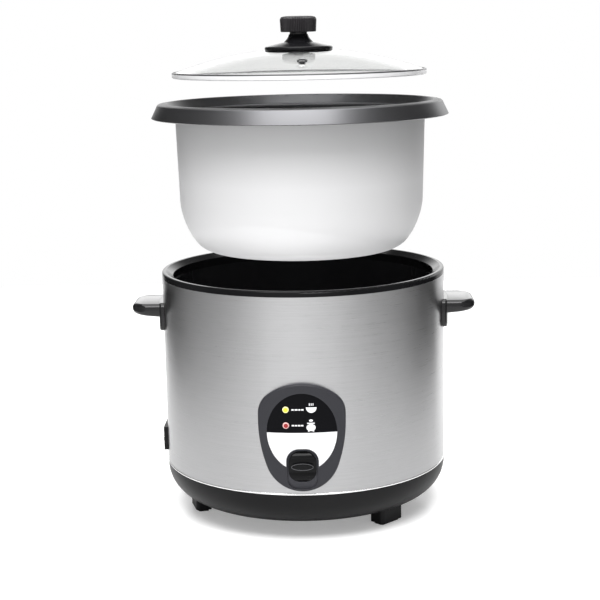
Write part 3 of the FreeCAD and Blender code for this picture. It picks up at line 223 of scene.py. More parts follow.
def level_mask(tree, low, high):
    """Mask that runs from the low to the high end of a tint between two heights on the piece."""
    place = tree.nodes.new("ShaderNodeTexCoord")
    split = tree.nodes.new("ShaderNodeSeparateXYZ")
    tree.links.new(place.outputs["Object"], split.inputs["Vector"])
    return spread(tree, split.outputs["Z"], low, high, *MASK_ENDS).outputs["Result"]


def reach_mask(tree, near, far):
    """Mask that runs from the low to the high end of a tint between two distances from the upright axis."""
    place = tree.nodes.new("ShaderNodeTexCoord")
    level = tree.nodes.new("ShaderNodeVectorMath")
    level.operation = "MULTIPLY"
    level.inputs[1].default_value = (1, 1, 0)
    reach = tree.nodes.new("ShaderNodeVectorMath")
    reach.operation = "LENGTH"
    tree.links.new(place.outputs["Object"], level.inputs[0])
    tree.links.new(level.outputs["Vector"], reach.inputs[0])
    return spread(tree, reach.outputs["Value"], near, far, *MASK_ENDS).outputs["Result"]


def relief(tree, source, depth, shader):
    """Raise a mask as fine relief."""
    bump = tree.nodes.new("ShaderNodeBump")
    bump.inputs["Strength"].default_value = 1
    bump.inputs["Distance"].default_value = depth
    tree.links.new(source, bump.inputs["Height"])
    tree.links.new(bump.outputs["Normal"], shader.inputs["Normal"])


def grained(tree, shader, rough_low, rough_high, depth=0.0):
    """Give a surface soft patches of gloss, and fine grain where it has a depth."""
    grain = effect(tree, "Moulded grain")
    vary(tree, grain.outputs["Patches"], rough_low, rough_high, shader.inputs["Roughness"])
    if depth:
        relief(tree, grain.outputs["Grain"], depth, shader)
    return grain.outputs["Patches"]


def shade(colour, factor):
    """A colour made lighter or darker."""
    return tuple(min(1.0, part * factor) for part in colour)


def brushed_steel():
    """Steel of the jacket, brushed level all round."""
    steel = colours().steel
    made, tree, shader = material("jacket_steel_brushed", steel, 1.0, 0.3)
    lines = effect(tree, "Brush lines").outputs["Lines"]
    tint(tree, lines, shade(steel, 0.9), shade(steel, 1.08), shader.inputs["Base Color"])
    vary(tree, lines, 0.26, 0.36, shader.inputs["Roughness"])
    relief(tree, lines, 0.004 * MM, shader)
    shader.inputs["Anisotropic"].default_value = 0.75
    shader.inputs["Anisotropic Rotation"].default_value = 0.25
    return made


def moulded(name, colour, rough_low, rough_high, grain_depth, shine=0.12):
    """Moulded plastic or cast coating with grain and soft patches of gloss."""
    made, tree, shader = material(name, colour, 0.0, rough_high)
    shader.inputs["Specular IOR Level"].default_value = shine
    patches = grained(tree, shader, rough_low, rough_high, grain_depth)
    tint(tree, patches, shade(colour, 0.85), shade(colour, 1.15), shader.inputs["Base Color"])
    return made


def plain_metal(name, colour, rough_low, rough_high):
    """Plated or cast metal with fine grain and soft patches."""
    made, tree, shader = material(name, colour, 1.0, rough_high)
    patches = grained(tree, shader, rough_low, rough_high, 0.004 * MM)
    tint(tree, patches, shade(colour, 0.97), shade(colour, 1.03), shader.inputs["Base Color"])
    return made


def bezel_satin():
    """Satin grey surround, paler where it sinks behind the switch paddle: painted light that lifts the
    shade there.
    """
    made, tree, shader = material("bezel_satin_grey_painted_light", colours().bezel, 0.0, 0.4)
    shader.inputs["Specular IOR Level"].default_value = 0.12
    # Painted light: paler grey where the surround sinks behind the paddle, standing in for light that the
    # shade there takes away
    recess_painted_light = reach_mask(tree, *RECESS_PAINTED_LIGHT_REACH)
    tint(tree, recess_painted_light, shade(colours().bezel, 2.2), colours().bezel, shader.inputs["Base Color"])
    grained(tree, shader, 0.32, 0.42, 0.012 * MM)
    return made


def pot_coating():
    """Dark non-stick coating, paler on the flange's outer side as a painted highlight."""
    coating = colours().coating
    made, tree, shader = material("pot_dark_coating_painted_highlight", coating, 1.0, 0.42)
    # Painted highlight: the coating is paler on the outside of the flange, where the key light's reflection
    # falls, and darker inward
    flange_highlight = reach_mask(tree, *FLANGE_HIGHLIGHT_REACH)
    tint(tree, flange_highlight, shade(coating, 0.8), shade(coating, 2.3), shader.inputs["Base Color"])
    grained(tree, shader, 0.36, 0.4, 0.001 * MM)
    return made


def pot_satin():
    """Satin outside of the pot, darkened towards the flange by painted shade."""
    made, tree, shader = material("pot_satin_aluminium_painted_shade", colours().pot, 0.05, 0.5)
    # Painted shade: darker towards the flange, standing for the flange's shadow on the pot's wall
    painted_flange_shade = level_mask(tree, *POT_PAINTED_SHADE)
    tint(tree, painted_flange_shade, colours().pot, shade(colours().pot, 0.62), shader.inputs["Base Color"])
    grained(tree, shader, 0.48, 0.52, 0.004 * MM)
    return made


def band_pale():
    """Pale polished edge band with a dark seal line along its top."""
    made, tree, shader = material("band_pale_steel", BAND_STEEL, 0.2, 0.3)
    tint(tree, level_mask(tree, *SEAL_LINE), BAND_STEEL, BAND_SEAL, shader.inputs["Base Color"])
    grained(tree, shader, 0.26, 0.34)
    return made


def clear_glass():
    """Clear glass of the lid, with a grey tint and weak mirroring."""
    made, tree, shader = material("lid_clear_glass", (0.87, 0.875, 0.87), 0.0, 0.01)
    grained(tree, shader, 0.0, 0.02)
    shader.inputs["Transmission Weight"].default_value = 1.0
    shader.inputs["IOR"].default_value = 1.18
    return made


def fascia_print():
    """Gloss panel, dark above a level line and pale below it."""
    made, tree, shader = material("fascia_two_tone", (0.01, 0.01, 0.012), 0.0, 0.16)
    shader.inputs["Specular IOR Level"].default_value = 0.05
    tint(tree, level_mask(tree, *PANEL_LINE), FASCIA_PALE, FASCIA_DARK, shader.inputs["Base Color"])
    grained(tree, shader, 0.12, 0.2)
    return made


def lens(name, edge, middle, centre):
    """Lamp lens with a paler edge round a deep middle."""
    made, tree, shader = material(name, middle, 0.0, 0.12)
    place = tree.nodes.new("ShaderNodeTexCoord")
    shift = tree.nodes.new("ShaderNodeMapping")
    shift.inputs["Location"].default_value = (-centre[0], 0, -centre[2])
    shift.inputs["Scale"].default_value = (1, 0, 1)
    reach = tree.nodes.new("ShaderNodeVectorMath")
    reach.operation = "LENGTH"
    tree.links.new(place.outputs["Object"], shift.inputs["Vector"])
    tree.links.new(shift.outputs["Vector"], reach.inputs[0])
    rim = spread(tree, reach.outputs["Value"], *LENS_EDGE).outputs["Result"]
    tint(tree, rim, middle, edge, shader.inputs["Base Color"])
    return made


def dress(nodes, made):
    """Give CAD nodes a finished material."""
    for node in nodes:
        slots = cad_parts[node].data.materials
        slots.clear()
        slots.append(made)


# Shapes

# Side handles
GRIP_ROOT = 140.5 * MM
GRIP_CORNER = 17 * MM
GRIP_THICK = 13 * MM
GRIP_TAPER = 2.5 * MM
GRIP_ROUND = 4.6 * MM
GRIP_SIDE_ROOM = 1.5 * MM
GRIP_TOP_ROOM = 1 * MM
PLATE_ROOT = 140.1 * MM
PLATE_THICK = 4.4 * MM
PLATE_CORNER = 6 * MM
PLATE_ROUND = 1.8 * MM
PLATE_CUTS = 8

# Steam vent ring, on glass that is part of a ball
VENT_REACH = 88 * MM
GLASS_ROUND = 355 * MM
VENT_TURN = math.radians(3.4)
RING_REACH = 4.3 * MM
RING_WIRE = 0.7 * MM
RING_LIFT = 2.1 * MM

# Switch paddle, with its depths at heights above its lower edge, both in millimetres
PADDLE_SIDE_ROOM = 0.6 * MM
PADDLE_DROP = 0.7 * MM
PADDLE_TOP_ROOM = 1.4 * MM
PADDLE_CORNER = 10.5 * MM
PADDLE_EDGE = 1.2 * MM
PADDLE_START = 1 * MM
PADDLE_DEPTHS = [
    (0, 2.2), (1.8, 3.8), (4.2, 4.7), (6.2, 4.6), (9.2, 3.8), (12.4, 4.7), (13.4, 5.1), (20, 5.1),
    (22.5, 4.4), (24.5, 4.5), (26, 3.6), (28.3, 1.4),
]

# Finger rest on the paddle
REST_LEVEL = 15.7 * MM
REST_WIDTH = 20.5 * MM
REST_HEIGHT = 6.8 * MM
REST_SINK = 4 * MM
REST_STEPS = 64
LIP_WIDTH = 0.55 * MM
LIP_RISE = 0.2 * MM
DISH_SLOPE = 0.4 * MM
DISH_DEPTH = 0.5 * MM

# Printed dashes, in millimetres, and how far all marks stand off the fascia
DASH_START = -9.2
DASH_HEIGHT = 1.3
DASH_GAP = 0.7
MARK_LIFT = 0.16 * MM

# Ribs of the lid's knob, measured from the foot of its disc, and the steps round each rib
RIB_FOOT = 17.4 * MM
RIB_HEAD = 31.2 * MM
RIB_REACH = 16 * MM
RIB_STEPS = 6


def finish_mesh(name, shape, materials, sharp=40):
    """Turn a bmesh into a smooth-shaded piece."""
    mesh = bpy.data.meshes.new(name)
    shape.to_mesh(mesh)
    shape.free()
    for made in materials:
        mesh.materials.append(made)
    mesh.shade_smooth()
    mesh.set_sharp_from_angle(angle=math.radians(sharp))
    piece = bpy.data.objects.new(name, mesh)
    bpy.context.scene.collection.objects.link(piece)
    return piece


def round_off(shape, geom, reach, segments, affect="EDGES", clamp=False):
    """Round edges or corners of a shape."""
    bmesh.ops.bevel(shape, geom=geom, offset=reach, offset_type="OFFSET", segments=segments, profile=0.5,
                    affect=affect, clamp_overlap=clamp, material=-1)


def draw_out(shape):
    """Double all faces of a flat shape, joined by a wall, and give back the new points."""
    grown = bmesh.ops.extrude_face_region(shape, geom=shape.faces[:], use_keep_orig=True)["geom"]
    return [item for item in grown if isinstance(item, bmesh.types.BMVert)]


def cut_across(shape, place, way):
    """Cut all faces along a plane and keep both sides."""
    bmesh.ops.bisect_plane(shape, geom=shape.verts[:] + shape.edges[:] + shape.faces[:], dist=PLANE_GAP,
                           plane_co=place, plane_no=way)


def spin_round(shape, steps):
    """Turn a section about Z into a skin."""
    bmesh.ops.spin(shape, geom=shape.verts[:] + shape.edges[:], cent=(0, 0, 0), axis=(0, 0, 1),
                   angle=2 * math.pi, steps=steps, use_merge=True)
    bmesh.ops.remove_doubles(shape, verts=shape.verts[:], dist=MERGE_GAP)
    bmesh.ops.recalc_face_normals(shape, faces=shape.faces[:])


def front_plane(place, width, height):
    """Matrix that stands a flat unit shape upright, facing front, at a size."""
    facing = Matrix.Translation(place) @ Matrix.Rotation(math.pi / 2, 4, "X")
    return facing @ Matrix.Diagonal((width / 2, height / 2, 1, 1))


def turned(section, base, closed=True, steps=None):
    """Turn a section of (radius, height, rounding) in millimetres about Z, from a base height."""
    shape = bmesh.new()
    spots = [Vector((radius * MM, 0, base + height * MM)) for radius, height, _ in section]
    corners = [shape.verts.new(spot) for spot in spots]
    shape.faces.new(corners)
    ends = (corners[0], corners[-1])
    for index, (_, _, rounding) in enumerate(section):
        if rounding:
            into = spots[index] - spots[index - 1]
            out = spots[(index + 1) % len(spots)] - spots[index]
            reach = rounding * MM * math.tan(into.angle(out) / 2)
            round_off(shape, [corners[index]], reach, 8, "VERTICES")
    bmesh.ops.delete(shape, geom=shape.faces[:], context="FACES_ONLY")
    dropped = [edge for edge in shape.edges
               if all(vert.co.x < PLANE_GAP for vert in edge.verts)
               or (not closed and set(edge.verts) == set(ends))]
    bmesh.ops.delete(shape, geom=dropped, context="EDGES_FACES")
    spin_round(shape, steps or sizes().turns)
    return shape


def settle(piece, body, slot, *nodes):
    """Attach a piece to the body it moves with and hide the CAD nodes it stands for; the slot is not used.
    """
    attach(piece, body)
    if nodes:
        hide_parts(*nodes)


def add_grip(shape, reach, half, top):
    """Grip of a side handle: a plate with full round edges, thinner towards its tip."""
    outline = ((GRIP_ROOT, -half), (reach, -half), (reach, half), (GRIP_ROOT, half))
    corners = [shape.verts.new((x, y, top)) for x, y in outline]
    shape.faces.new(corners)
    round_off(shape, corners[1:3], GRIP_CORNER, 12, "VERTICES")
    for vert in draw_out(shape):
        vert.co.z = top - GRIP_THICK + GRIP_TAPER * (vert.co.x - GRIP_ROOT) / (reach - GRIP_ROOT)
    rims = [edge for edge in shape.edges
            if len({round(vert.co.z - top, 6) == 0 for vert in edge.verts}) == 1
            and max(vert.co.x for vert in edge.verts) > GRIP_ROOT + MERGE_GAP]
    round_off(shape, rims, GRIP_ROUND, 7)


def add_back_plate(shape, half, low, high):
    """Plate behind a side handle, bent to the jacket."""
    plate = bmesh.new()
    outline = ((-half, low), (half, low), (half, high), (-half, high))
    corners = [plate.verts.new((0, y, z)) for y, z in outline]
    plate.faces.new(corners)
    round_off(plate, corners, PLATE_CORNER, 8, "VERTICES")
    bmesh.ops.translate(plate, vec=(PLATE_THICK, 0, 0), verts=draw_out(plate))
    rims = [edge for edge in plate.edges if all(vert.co.x > PLATE_THICK / 2 for vert in edge.verts)]
    round_off(plate, rims, PLATE_ROUND, 5)
    for step in range(1 - PLATE_CUTS, PLATE_CUTS):
        cut_across(plate, (0, step * half / PLATE_CUTS, 0), (0, 1, 0))
    for vert in plate.verts:
        vert.co.x = math.sqrt((PLATE_ROOT + vert.co.x) ** 2 - vert.co.y ** 2)
    bent = bpy.data.meshes.new("bent_plate")
    plate.to_mesh(bent)
    plate.free()
    shape.from_mesh(bent)
    bpy.data.meshes.remove(bent)


def make_handle(node, name, side, made):
    """Side handle with a full rounding on its grip."""
    low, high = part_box(node)
    reach = max(abs(low.x), abs(high.x))
    shape = bmesh.new()
    add_grip(shape, reach, high.y - GRIP_SIDE_ROOM, high.z - GRIP_TOP_ROOM)
    add_back_plate(shape, high.y, low.z, high.z)
    bmesh.ops.scale(shape, vec=(side, 1, 1), verts=shape.verts[:])
    bmesh.ops.recalc_face_normals(shape, faces=shape.faces[:])
    settle(finish_mesh(name, shape, [made]), "housing", "gloss_black", node)


def make_vent():
    """Dark ring round the steam hole, square to the glass."""
    low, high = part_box("vent_eyelet")
    middle = (low + high) / 2
    lean = math.asin(VENT_REACH / GLASS_ROUND)
    facing = Matrix.Rotation(VENT_TURN, 4, "Z") @ Matrix.Rotation(lean, 4, "X")
    shape = bmesh.new()
    ring = Matrix.Translation((RING_REACH, 0, 0)) @ Matrix.Rotation(math.pi / 2, 4, "X")
    bmesh.ops.create_circle(shape, segments=12, radius=RING_WIRE, matrix=ring)
    spin_round(shape, 48)
    spot = Matrix.Translation(middle) @ facing @ Matrix.Translation((0, 0, RING_LIFT))
    bmesh.ops.transform(shape, matrix=spot, verts=shape.verts[:])
    dark = plain_metal("vent_dark_steel", (0.05, 0.05, 0.052), 0.25, 0.35)
    settle(finish_mesh("steam_vent_ring", shape, [dark]), "lid", "band_steel", "vent_eyelet")


def make_paddle():
    """Switch paddle with a soft ridge and an oval finger rest."""
    low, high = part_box("lever_knob")
    low = low + Vector((PADDLE_SIDE_ROOM, 0, -PADDLE_DROP))
    high = high - Vector((PADDLE_SIDE_ROOM, 0, PADDLE_TOP_ROOM))
    back = high.y
    shape = bmesh.new()
    outline = [(low.x, low.z), (high.x, low.z), (high.x, high.z), (low.x, high.z)]
    corners = [shape.verts.new((x, back, z)) for x, z in outline]
    shape.faces.new(corners)
    round_off(shape, corners, PADDLE_CORNER, 10, "VERTICES")
    bmesh.ops.translate(shape, vec=(0, -PADDLE_START, 0), verts=draw_out(shape))
    for rise, _ in PADDLE_DEPTHS[1:-1]:
        cut_across(shape, (0, 0, low.z + rise * MM), (0, 0, 1))
    for vert in shape.verts:
        if vert.co.y < back - PADDLE_START / 2:
            rise = (vert.co.z - low.z) / MM
            vert.co.y = back - between(PADDLE_DEPTHS, rise) * MM
    bmesh.ops.recalc_face_normals(shape, faces=shape.faces[:])
    edges = [edge for edge in shape.edges if len(edge.link_faces) == 2
             and sorted(face.normal.y < -0.5 for face in edge.link_faces) == [False, True]]
    round_off(shape, edges, PADDLE_EDGE, 4, clamp=True)
    add_finger_rest(shape, low, high)
    black = moulded("paddle_gloss_black", (0.004, 0.004, 0.0045), 0.16, 0.24, 0.002 * MM)
    # Painted highlight: paler grey for the finger rest's lip, standing for light caught along its edge
    lip = moulded("paddle_lip_painted_highlight", (0.085, 0.085, 0.09), 0.25, 0.32, 0.002 * MM)
    paddle = finish_mesh("switch_paddle", shape, [black, lip], 30)
    settle(paddle, "cook_lever", "gloss_black", "lever_knob")


def between(stops, spot):
    """Value at a spot between (spot, value) stops."""
    for (start, first), (end, last) in zip(stops, stops[1:]):
        if spot <= end:
            return first + (last - first) * max(0.0, spot - start) / (end - start)
    return stops[-1][1]


def add_finger_rest(shape, low, high):
    """Oval rest on the paddle, with a fine lip round a shallow dish; the lip takes a paler grey as a
    painted highlight.
    """
    spot = ((low.x + high.x) / 2, high.y - REST_SINK, low.z + REST_LEVEL)
    oval = bmesh.ops.create_circle(shape, cap_ends=True, segments=REST_STEPS, radius=1,
                                   matrix=front_plane(spot, REST_WIDTH, REST_HEIGHT))["verts"]
    face = next(face for face in oval[0].link_faces if len(face.verts) == REST_STEPS)
    grown = bmesh.ops.extrude_face_region(shape, geom=[face])["geom"]
    front = [item for item in grown if isinstance(item, bmesh.types.BMVert)]
    bmesh.ops.translate(shape, vec=(0, low.y + LIP_RISE - front[0].co.y, 0), verts=front)
    face = next(item for item in grown if isinstance(item, bmesh.types.BMFace))
    rim = bmesh.ops.inset_region(shape, faces=[face], thickness=LIP_WIDTH, use_even_offset=True)["faces"]
    # Painted highlight: the lip's faces take the paler grey material
    for ring in rim:
        ring.material_index = 1
    lip = list({vert for ring in rim for vert in ring.verts})
    bmesh.ops.translate(shape, vec=(0, -LIP_RISE, 0), verts=lip)
    bmesh.ops.inset_region(shape, faces=[face], thickness=DISH_SLOPE, depth=-DISH_DEPTH,
                           use_even_offset=True)
    bmesh.ops.recalc_face_normals(shape, faces=shape.faces[:])


def add_bar(shape, x, z, width, height):
    """Level printed bar, in millimetres."""
    bmesh.ops.create_grid(shape, x_segments=1, y_segments=1, size=1,
                          matrix=front_plane((x * MM, 0, z * MM), width * MM, height * MM))


def add_dot(shape, x, z, width, height, flat_above=None):
    """Printed oval, in millimetres, cut level where asked."""
    facing = front_plane((x * MM, 0, z * MM), width * MM, height * MM)
    verts = bmesh.ops.create_circle(shape, cap_ends=True, segments=40, radius=1, matrix=facing)["verts"]
    if flat_above is not None:
        faces = {face for vert in verts for face in vert.link_faces}
        edges = {edge for vert in verts for edge in vert.link_edges}
        bmesh.ops.bisect_plane(shape, geom=verts + list(edges) + list(faces), dist=PLANE_GAP,
                               plane_co=(0, 0, flat_above * MM), plane_no=(0, 0, 1), clear_outer=True)


def add_bowl_mark(shape, x, rim):
    """Printed bowl, level at its rim, under three strokes of steam."""
    add_dot(shape, x, rim, 9.8, 10.4, rim)
    for step in (-1, 0, 1):
        add_bar(shape, x + step * 1.7, rim + 2.7, 0.8, 2.2)


def add_pot_mark(shape, x, level):
    """Printed pot on two feet, with a lid and its knob."""
    add_dot(shape, x, level - 2.0, 8.4, 6.6)
    for side in (-1, 1):
        add_bar(shape, x + side * 2.1, level - 5.2, 1.4, 1.2)
    add_bar(shape, x, level + 2.1, 7.0, 0.9)
    add_dot(shape, x, level + 4.6, 3.6, 2.2)


def make_marks():
    """Printed marks beside the lamps: plain dashes, a bowl and a pot."""
    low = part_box("fascia")[0]
    warm, cook = (sum((corner.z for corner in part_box(node)), 0.0) / 2 / MM
                  for node in ("warm_lamp", "cook_lamp"))
    shape = bmesh.new()
    for level, widths in ((warm, (2.2, 2.8, 1.8, 2.2)), (cook, (2.4, 1.8, 2.4, 2.0))):
        start = DASH_START
        for width in widths:
            add_bar(shape, start + width / 2, level, width, DASH_HEIGHT)
            start += width + DASH_GAP
    add_bowl_mark(shape, 9.0, warm + 2.2)
    add_pot_mark(shape, 8.5, cook)
    reach = -low.y + MARK_LIFT
    for vert in shape.verts:
        vert.co.y = -math.sqrt(reach ** 2 - vert.co.x ** 2)
    shape.normal_update()
    bmesh.ops.reverse_faces(shape, faces=[face for face in shape.faces if face.normal.y > 0])
    white = moulded("mark_print_white", (0.82, 0.82, 0.84), 0.3, 0.4, 0.001 * MM)
    settle(finish_mesh("panel_marks", shape, [white]), "housing", "fascia_gloss")


def press_ribs(shape, count):
    """Press upright ribs into the side of the lid's knob."""
    for vert in shape.verts:
        reach = math.hypot(vert.co.x, vert.co.y)
        if RIB_FOOT < vert.co.z - SKIRT_LOW.z < RIB_HEAD and reach > RIB_REACH:
            wave = math.cos(math.atan2(vert.co.y, vert.co.x) * count)
            share = 1 - sizes().rib_depth * max(0.0, wave) / reach
            vert.co.x *= share
            vert.co.y *= share


# Pieces

class COOKER_OT_finishes(bpy.types.Operator):
    """Make the surface effects that the materials share"""
    bl_idname = "cooker.finishes"
    bl_label = "Shared finishes"

    def execute(self, context):
        brush_lines()
        moulded_grain()
        return {"FINISHED"}


class COOKER_OT_body(bpy.types.Operator):
    """Finish the steel jacket and its hem, the base, the feet, the handles, the rim and the cavity"""
    bl_idname = "cooker.body"
    bl_label = "Body"

    def execute(self, context):
        dress(["outer_shell"], brushed_steel())
        satin = moulded("base_satin_black", colours().base, 0.3, 0.42, 0.01 * MM)
        dress(["base_ring", "feet", "power_inlet"], satin)
        dress(["foot_pads"], moulded("pad_rubber_black", (0.015, 0.015, 0.015), 0.6, 0.75, 0.02 * MM))
        gloss = moulded("grip_polished_black", colours().black, 0.07, 0.12, 0.001 * MM, 0.35)
        make_handle("handle_left", "left_grip", -1, gloss)
        make_handle("handle_right", "right_grip", 1, gloss)
        dress(["top_rim"], moulded("rim_polished_black", colours().black, 0.12, 0.18, 0.001 * MM, 0.1))
        hem = [(139.4, 0.1, 0.2), (140.5, 0.1, 0.5), (140.5, 1.5, 0.5), (139.4, 1.5, 0.2)]
        bright = plain_metal("hem_bright_steel", (0.92, 0.92, 0.92), 0.12, 0.18)
        settle(finish_mesh("jacket_hem", turned(hem, SHELL_LOW.z), [bright]), "housing", "jacket_steel")
        dress(["inner_liner"], moulded("liner_dark_coating", (0.012, 0.012, 0.013), 0.1, 0.16, 0.003 * MM))
        return {"FINISHED"}


class COOKER_OT_panel(bpy.types.Operator):
    """Finish the bezel, the fascia, the lamps, the switch paddle and the printed marks"""
    bl_idname = "cooker.panel"
    bl_label = "Control panel"

    def execute(self, context):
        dress(["control_bezel"], bezel_satin())
        dress(["fascia"], fascia_print())
        for node, edge, middle in (("warm_lamp", (0.95, 0.9, 0.45), (0.85, 0.75, 0.03)),
                                   ("cook_lamp", (0.85, 0.5, 0.48), (0.3, 0.006, 0.008))):
            low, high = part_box(node)
            dress([node], lens(node + "_lens", edge, middle, (low + high) / 2))
        make_paddle()
        make_marks()
        return {"FINISHED"}


class COOKER_OT_pot(bpy.types.Operator):
    """Make the drawn pot with its coated inside and flange"""
    bl_idname = "cooker.pot"
    bl_label = "Pot"

    def execute(self, context):
        rise = (POT_HIGH.z - POT_LOW.z) / MM
        section = [
            (0, 1.6, 0), (96.2, 1.6, 21.4), (117.4, 26.9, 63.4), (120.4, rise - 9.6, 2),
            (125, rise - 9.6, 1.2), (130, rise, 1.8), (138.6, rise - 1.1, 2.5), (144.95, rise - 14.2, 0),
        ]
        shape = turned(section, POT_LOW.z, closed=False)
        pot = finish_mesh("cooking_pot", shape, [pot_coating(), pot_satin()])
        wall = pot.modifiers.new("Sheet", "SOLIDIFY")
        wall.thickness = sizes().pot_sheet
        wall.offset = -1
        wall.material_offset = 1
        wall.material_offset_rim = 0
        pot.modifiers.new("Crisp edges", "EDGE_SPLIT").split_angle = math.radians(40)
        settle(pot, "pot", "pot_aluminium", "inner_pot")
        return {"FINISHED"}


class COOKER_OT_lid(bpy.types.Operator):
    """Make the lid's steel band and vent ring, and finish its glass and the knob's screw"""
    bl_idname = "cooker.lid"
    bl_label = "Lid"

    def execute(self, context):
        dress(["lid_glass"], clear_glass())
        make_vent()
        plated = plain_metal("clamp_plated_steel", (0.85, 0.85, 0.85), 0.2, 0.3)
        dress(["knob_screw", "knob_washer"], plated)
        section = [
            (120.4, 0, 0.2), (123.7, 0, 1.1), (123.7, 5.5, 1.4), (121.6, 5.5, 0.2), (121.6, 5, 0.2),
            (123.2, 5, 0.6), (123.2, 0.5, 0.4), (120.4, 0.5, 0.2),
        ]
        band = finish_mesh("lid_edge_band", turned(section, BAND_LOW.z), [band_pale()])
        settle(band, "lid", "band_steel", "lid_band")
        return {"FINISHED"}


class COOKER_OT_knob(bpy.types.Operator):
    """Make the lid's ribbed knob and the skirt under it"""
    bl_idname = "cooker.knob"
    bl_label = "Lid knob"

    def execute(self, context):
        gloss = moulded("disc_satin_black", (0.008, 0.008, 0.009), 0.2, 0.28, 0.001 * MM, 0.15)
        skirt = [
            (2.5, 1.4, 0), (20, 1.0, 0), (33, 0, 0.8), (33, 3.2, 1.4), (14.5, 7.4, 1), (10.5, 11.5, 8),
            (9.2, 15, 0), (2.5, 15, 0),
        ]
        disc = finish_mesh("knob_disc", turned(skirt, SKIRT_LOW.z), [gloss])
        settle(disc, "lid", "gloss_black", "knob_skirt")
        grip = [
            (0, 8, 0), (9, 8, 0), (8.5, 15, 3), (8.5, 17, 0.8), (17.2, 17, 0.8), (18, 32.2, 4),
            (13, 32.2, 1), (11, 31.3, 3), (0, 31.3, 0),
        ]
        ribs = sizes().knob_ribs
        shape = turned(grip, SKIRT_LOW.z, steps=ribs * RIB_STEPS)
        press_ribs(shape, ribs)
        rough = moulded("knob_ribbed_black", (0.02, 0.018, 0.02), 0.12, 0.17, 0.001 * MM, 0.3)
        knob = finish_mesh("knob_grip", shape, [rough])
        settle(knob, "lid", "gloss_black", "lid_knob")
        return {"FINISHED"}


class COOKER_OT_works(bpy.types.Operator):
    """Finish the heater, the thermostat, the switch gear and the fasteners"""
    bl_idname = "cooker.works"
    bl_label = "Inside works"

    def execute(self, context):
        zinc = plain_metal("zinc_plated_sheet", (0.55, 0.56, 0.57), 0.3, 0.45)
        dress(["bottom_cover", "thermostat_housing", "lever_arm", "lever_bracket", "switch_bracket",
               "fuse_clip"], zinc)
        screws = plain_metal("screw_plated_steel", (0.6, 0.6, 0.59), 0.2, 0.34)
        dress(["cover_screws", "chassis_screws", "plate_screws", "handle_screws", "inlet_screws",
               "lever_pin", "pull_rod", "chassis_posts", "plate_posts", "sensor_spring",
               "magnet_spring"], screws)
        cast = plain_metal("plate_cast_aluminium", (0.68, 0.68, 0.68), 0.3, 0.45)
        dress(["heating_plate", "sensor_cap"], cast)
        dress(["heating_element"], plain_metal("element_dark_sheath", (0.2, 0.19, 0.18), 0.4, 0.55))
        ferrite = moulded("ferrite_grey", (0.05, 0.05, 0.055), 0.5, 0.65, 0.02 * MM)
        dress(["ferrite_disc", "magnet"], ferrite)
        brown = moulded("switch_brown", (0.09, 0.06, 0.04), 0.4, 0.5, 0.01 * MM)
        dress(["switch_body", "switch_plunger"], brown)
        dress(["lamp_board"], moulded("board_laminate", (0.22, 0.15, 0.06), 0.45, 0.6, 0.01 * MM))
        dress(["keep_warm_band"], plain_metal("warm_band_foil", (0.6, 0.58, 0.54), 0.3, 0.5))
        dress(["thermal_fuse"], plain_metal("fuse_plated_can", (0.62, 0.58, 0.5), 0.2, 0.35))
        dress(["inlet_pins"], plain_metal("pin_plain_brass", (0.75, 0.62, 0.36), 0.2, 0.32))
        return {"FINISHED"}


# Studio

FLOOR_HALF = (0.6, 1.25)
FLOOR_LIFT = 0.28
WORLD_TURN = math.radians(8)

# Brightness of the walls from behind the object round to its front
WALL_GREYS = [
    (0.1, 0.03), (0.26, 0.05), (0.42, 0.26), (0.55, 0.4),
    (0.7, 0.46), (0.86, 0.56), (0.95, 0.78), (1.0, 1.2),
]

# Camera, with its angles and place fitted to the photograph
CAMERA_SENSOR = 36
CAMERA_LENS = 86.54
CAMERA_AROUND = math.radians(1.5)
CAMERA_PITCH = math.radians(10.82)
CAMERA_ROLL = math.radians(-1.12)
CAMERA_YAW = math.radians(-0.14)
CAMERA_PLACE = (0, -1.4211, 0.4777)


def add_softbox(name, place, aim, width, height, power):
    """Area light turned towards a point, unseen by the camera."""
    lamp = bpy.data.lights.new(name, "AREA")
    lamp.shape = "RECTANGLE"
    lamp.size = width
    lamp.size_y = height
    lamp.energy = power
    box = bpy.data.objects.new(name, lamp)
    bpy.context.scene.collection.objects.link(box)
    box.location = place
    box.rotation_euler = (Vector(aim) - Vector(place)).to_track_quat("-Z", "Y").to_euler()
    box.visible_camera = False
    return box


def grey_ramp(tree, source, stops):
    """Ramp of greys from (place, brightness) stops."""
    ramp = tree.nodes.new("ShaderNodeValToRGB")
    band = ramp.color_ramp
    while len(band.elements) < len(stops):
        band.elements.new(0.5)
    for element, (spot, bright) in zip(band.elements, stops):
        element.position = spot
        element.color = (bright, bright, bright, 1)
    tree.links.new(source, ramp.inputs["Fac"])
    return ramp.outputs["Color"]


def rising_mix(tree, height, start, end, below, above):
    """Change softly from one colour to another between two heights."""
    share = spread(tree, height, start, end)
    share.interpolation_type = "SMOOTHSTEP"
    mix = tree.nodes.new("ShaderNodeMix")
    mix.data_type = "RGBA"
    tree.links.new(share.outputs["Result"], mix.inputs["Factor"])
    tree.links.new(below, mix.inputs["A"])
    tree.links.new(above, mix.inputs["B"])
    return mix.outputs["Result"]


def around_share(tree, split):
    """Share that runs from 0 behind the object to 1 in front of it, at any height."""
    level = tree.nodes.new("ShaderNodeCombineXYZ")
    tree.links.new(split.outputs["X"], level.inputs["X"])
    tree.links.new(split.outputs["Y"], level.inputs["Y"])
    unit = tree.nodes.new("ShaderNodeVectorMath")
    unit.operation = "NORMALIZE"
    tree.links.new(level.outputs["Vector"], unit.inputs[0])
    back = tree.nodes.new("ShaderNodeVectorMath")
    back.operation = "DOT_PRODUCT"
    back.inputs[1].default_value = (math.sin(WORLD_TURN), math.cos(WORLD_TURN), 0)
    tree.links.new(unit.outputs["Vector"], back.inputs[0])
    return spread(tree, back.outputs["Value"], 1, -1).outputs["Result"]


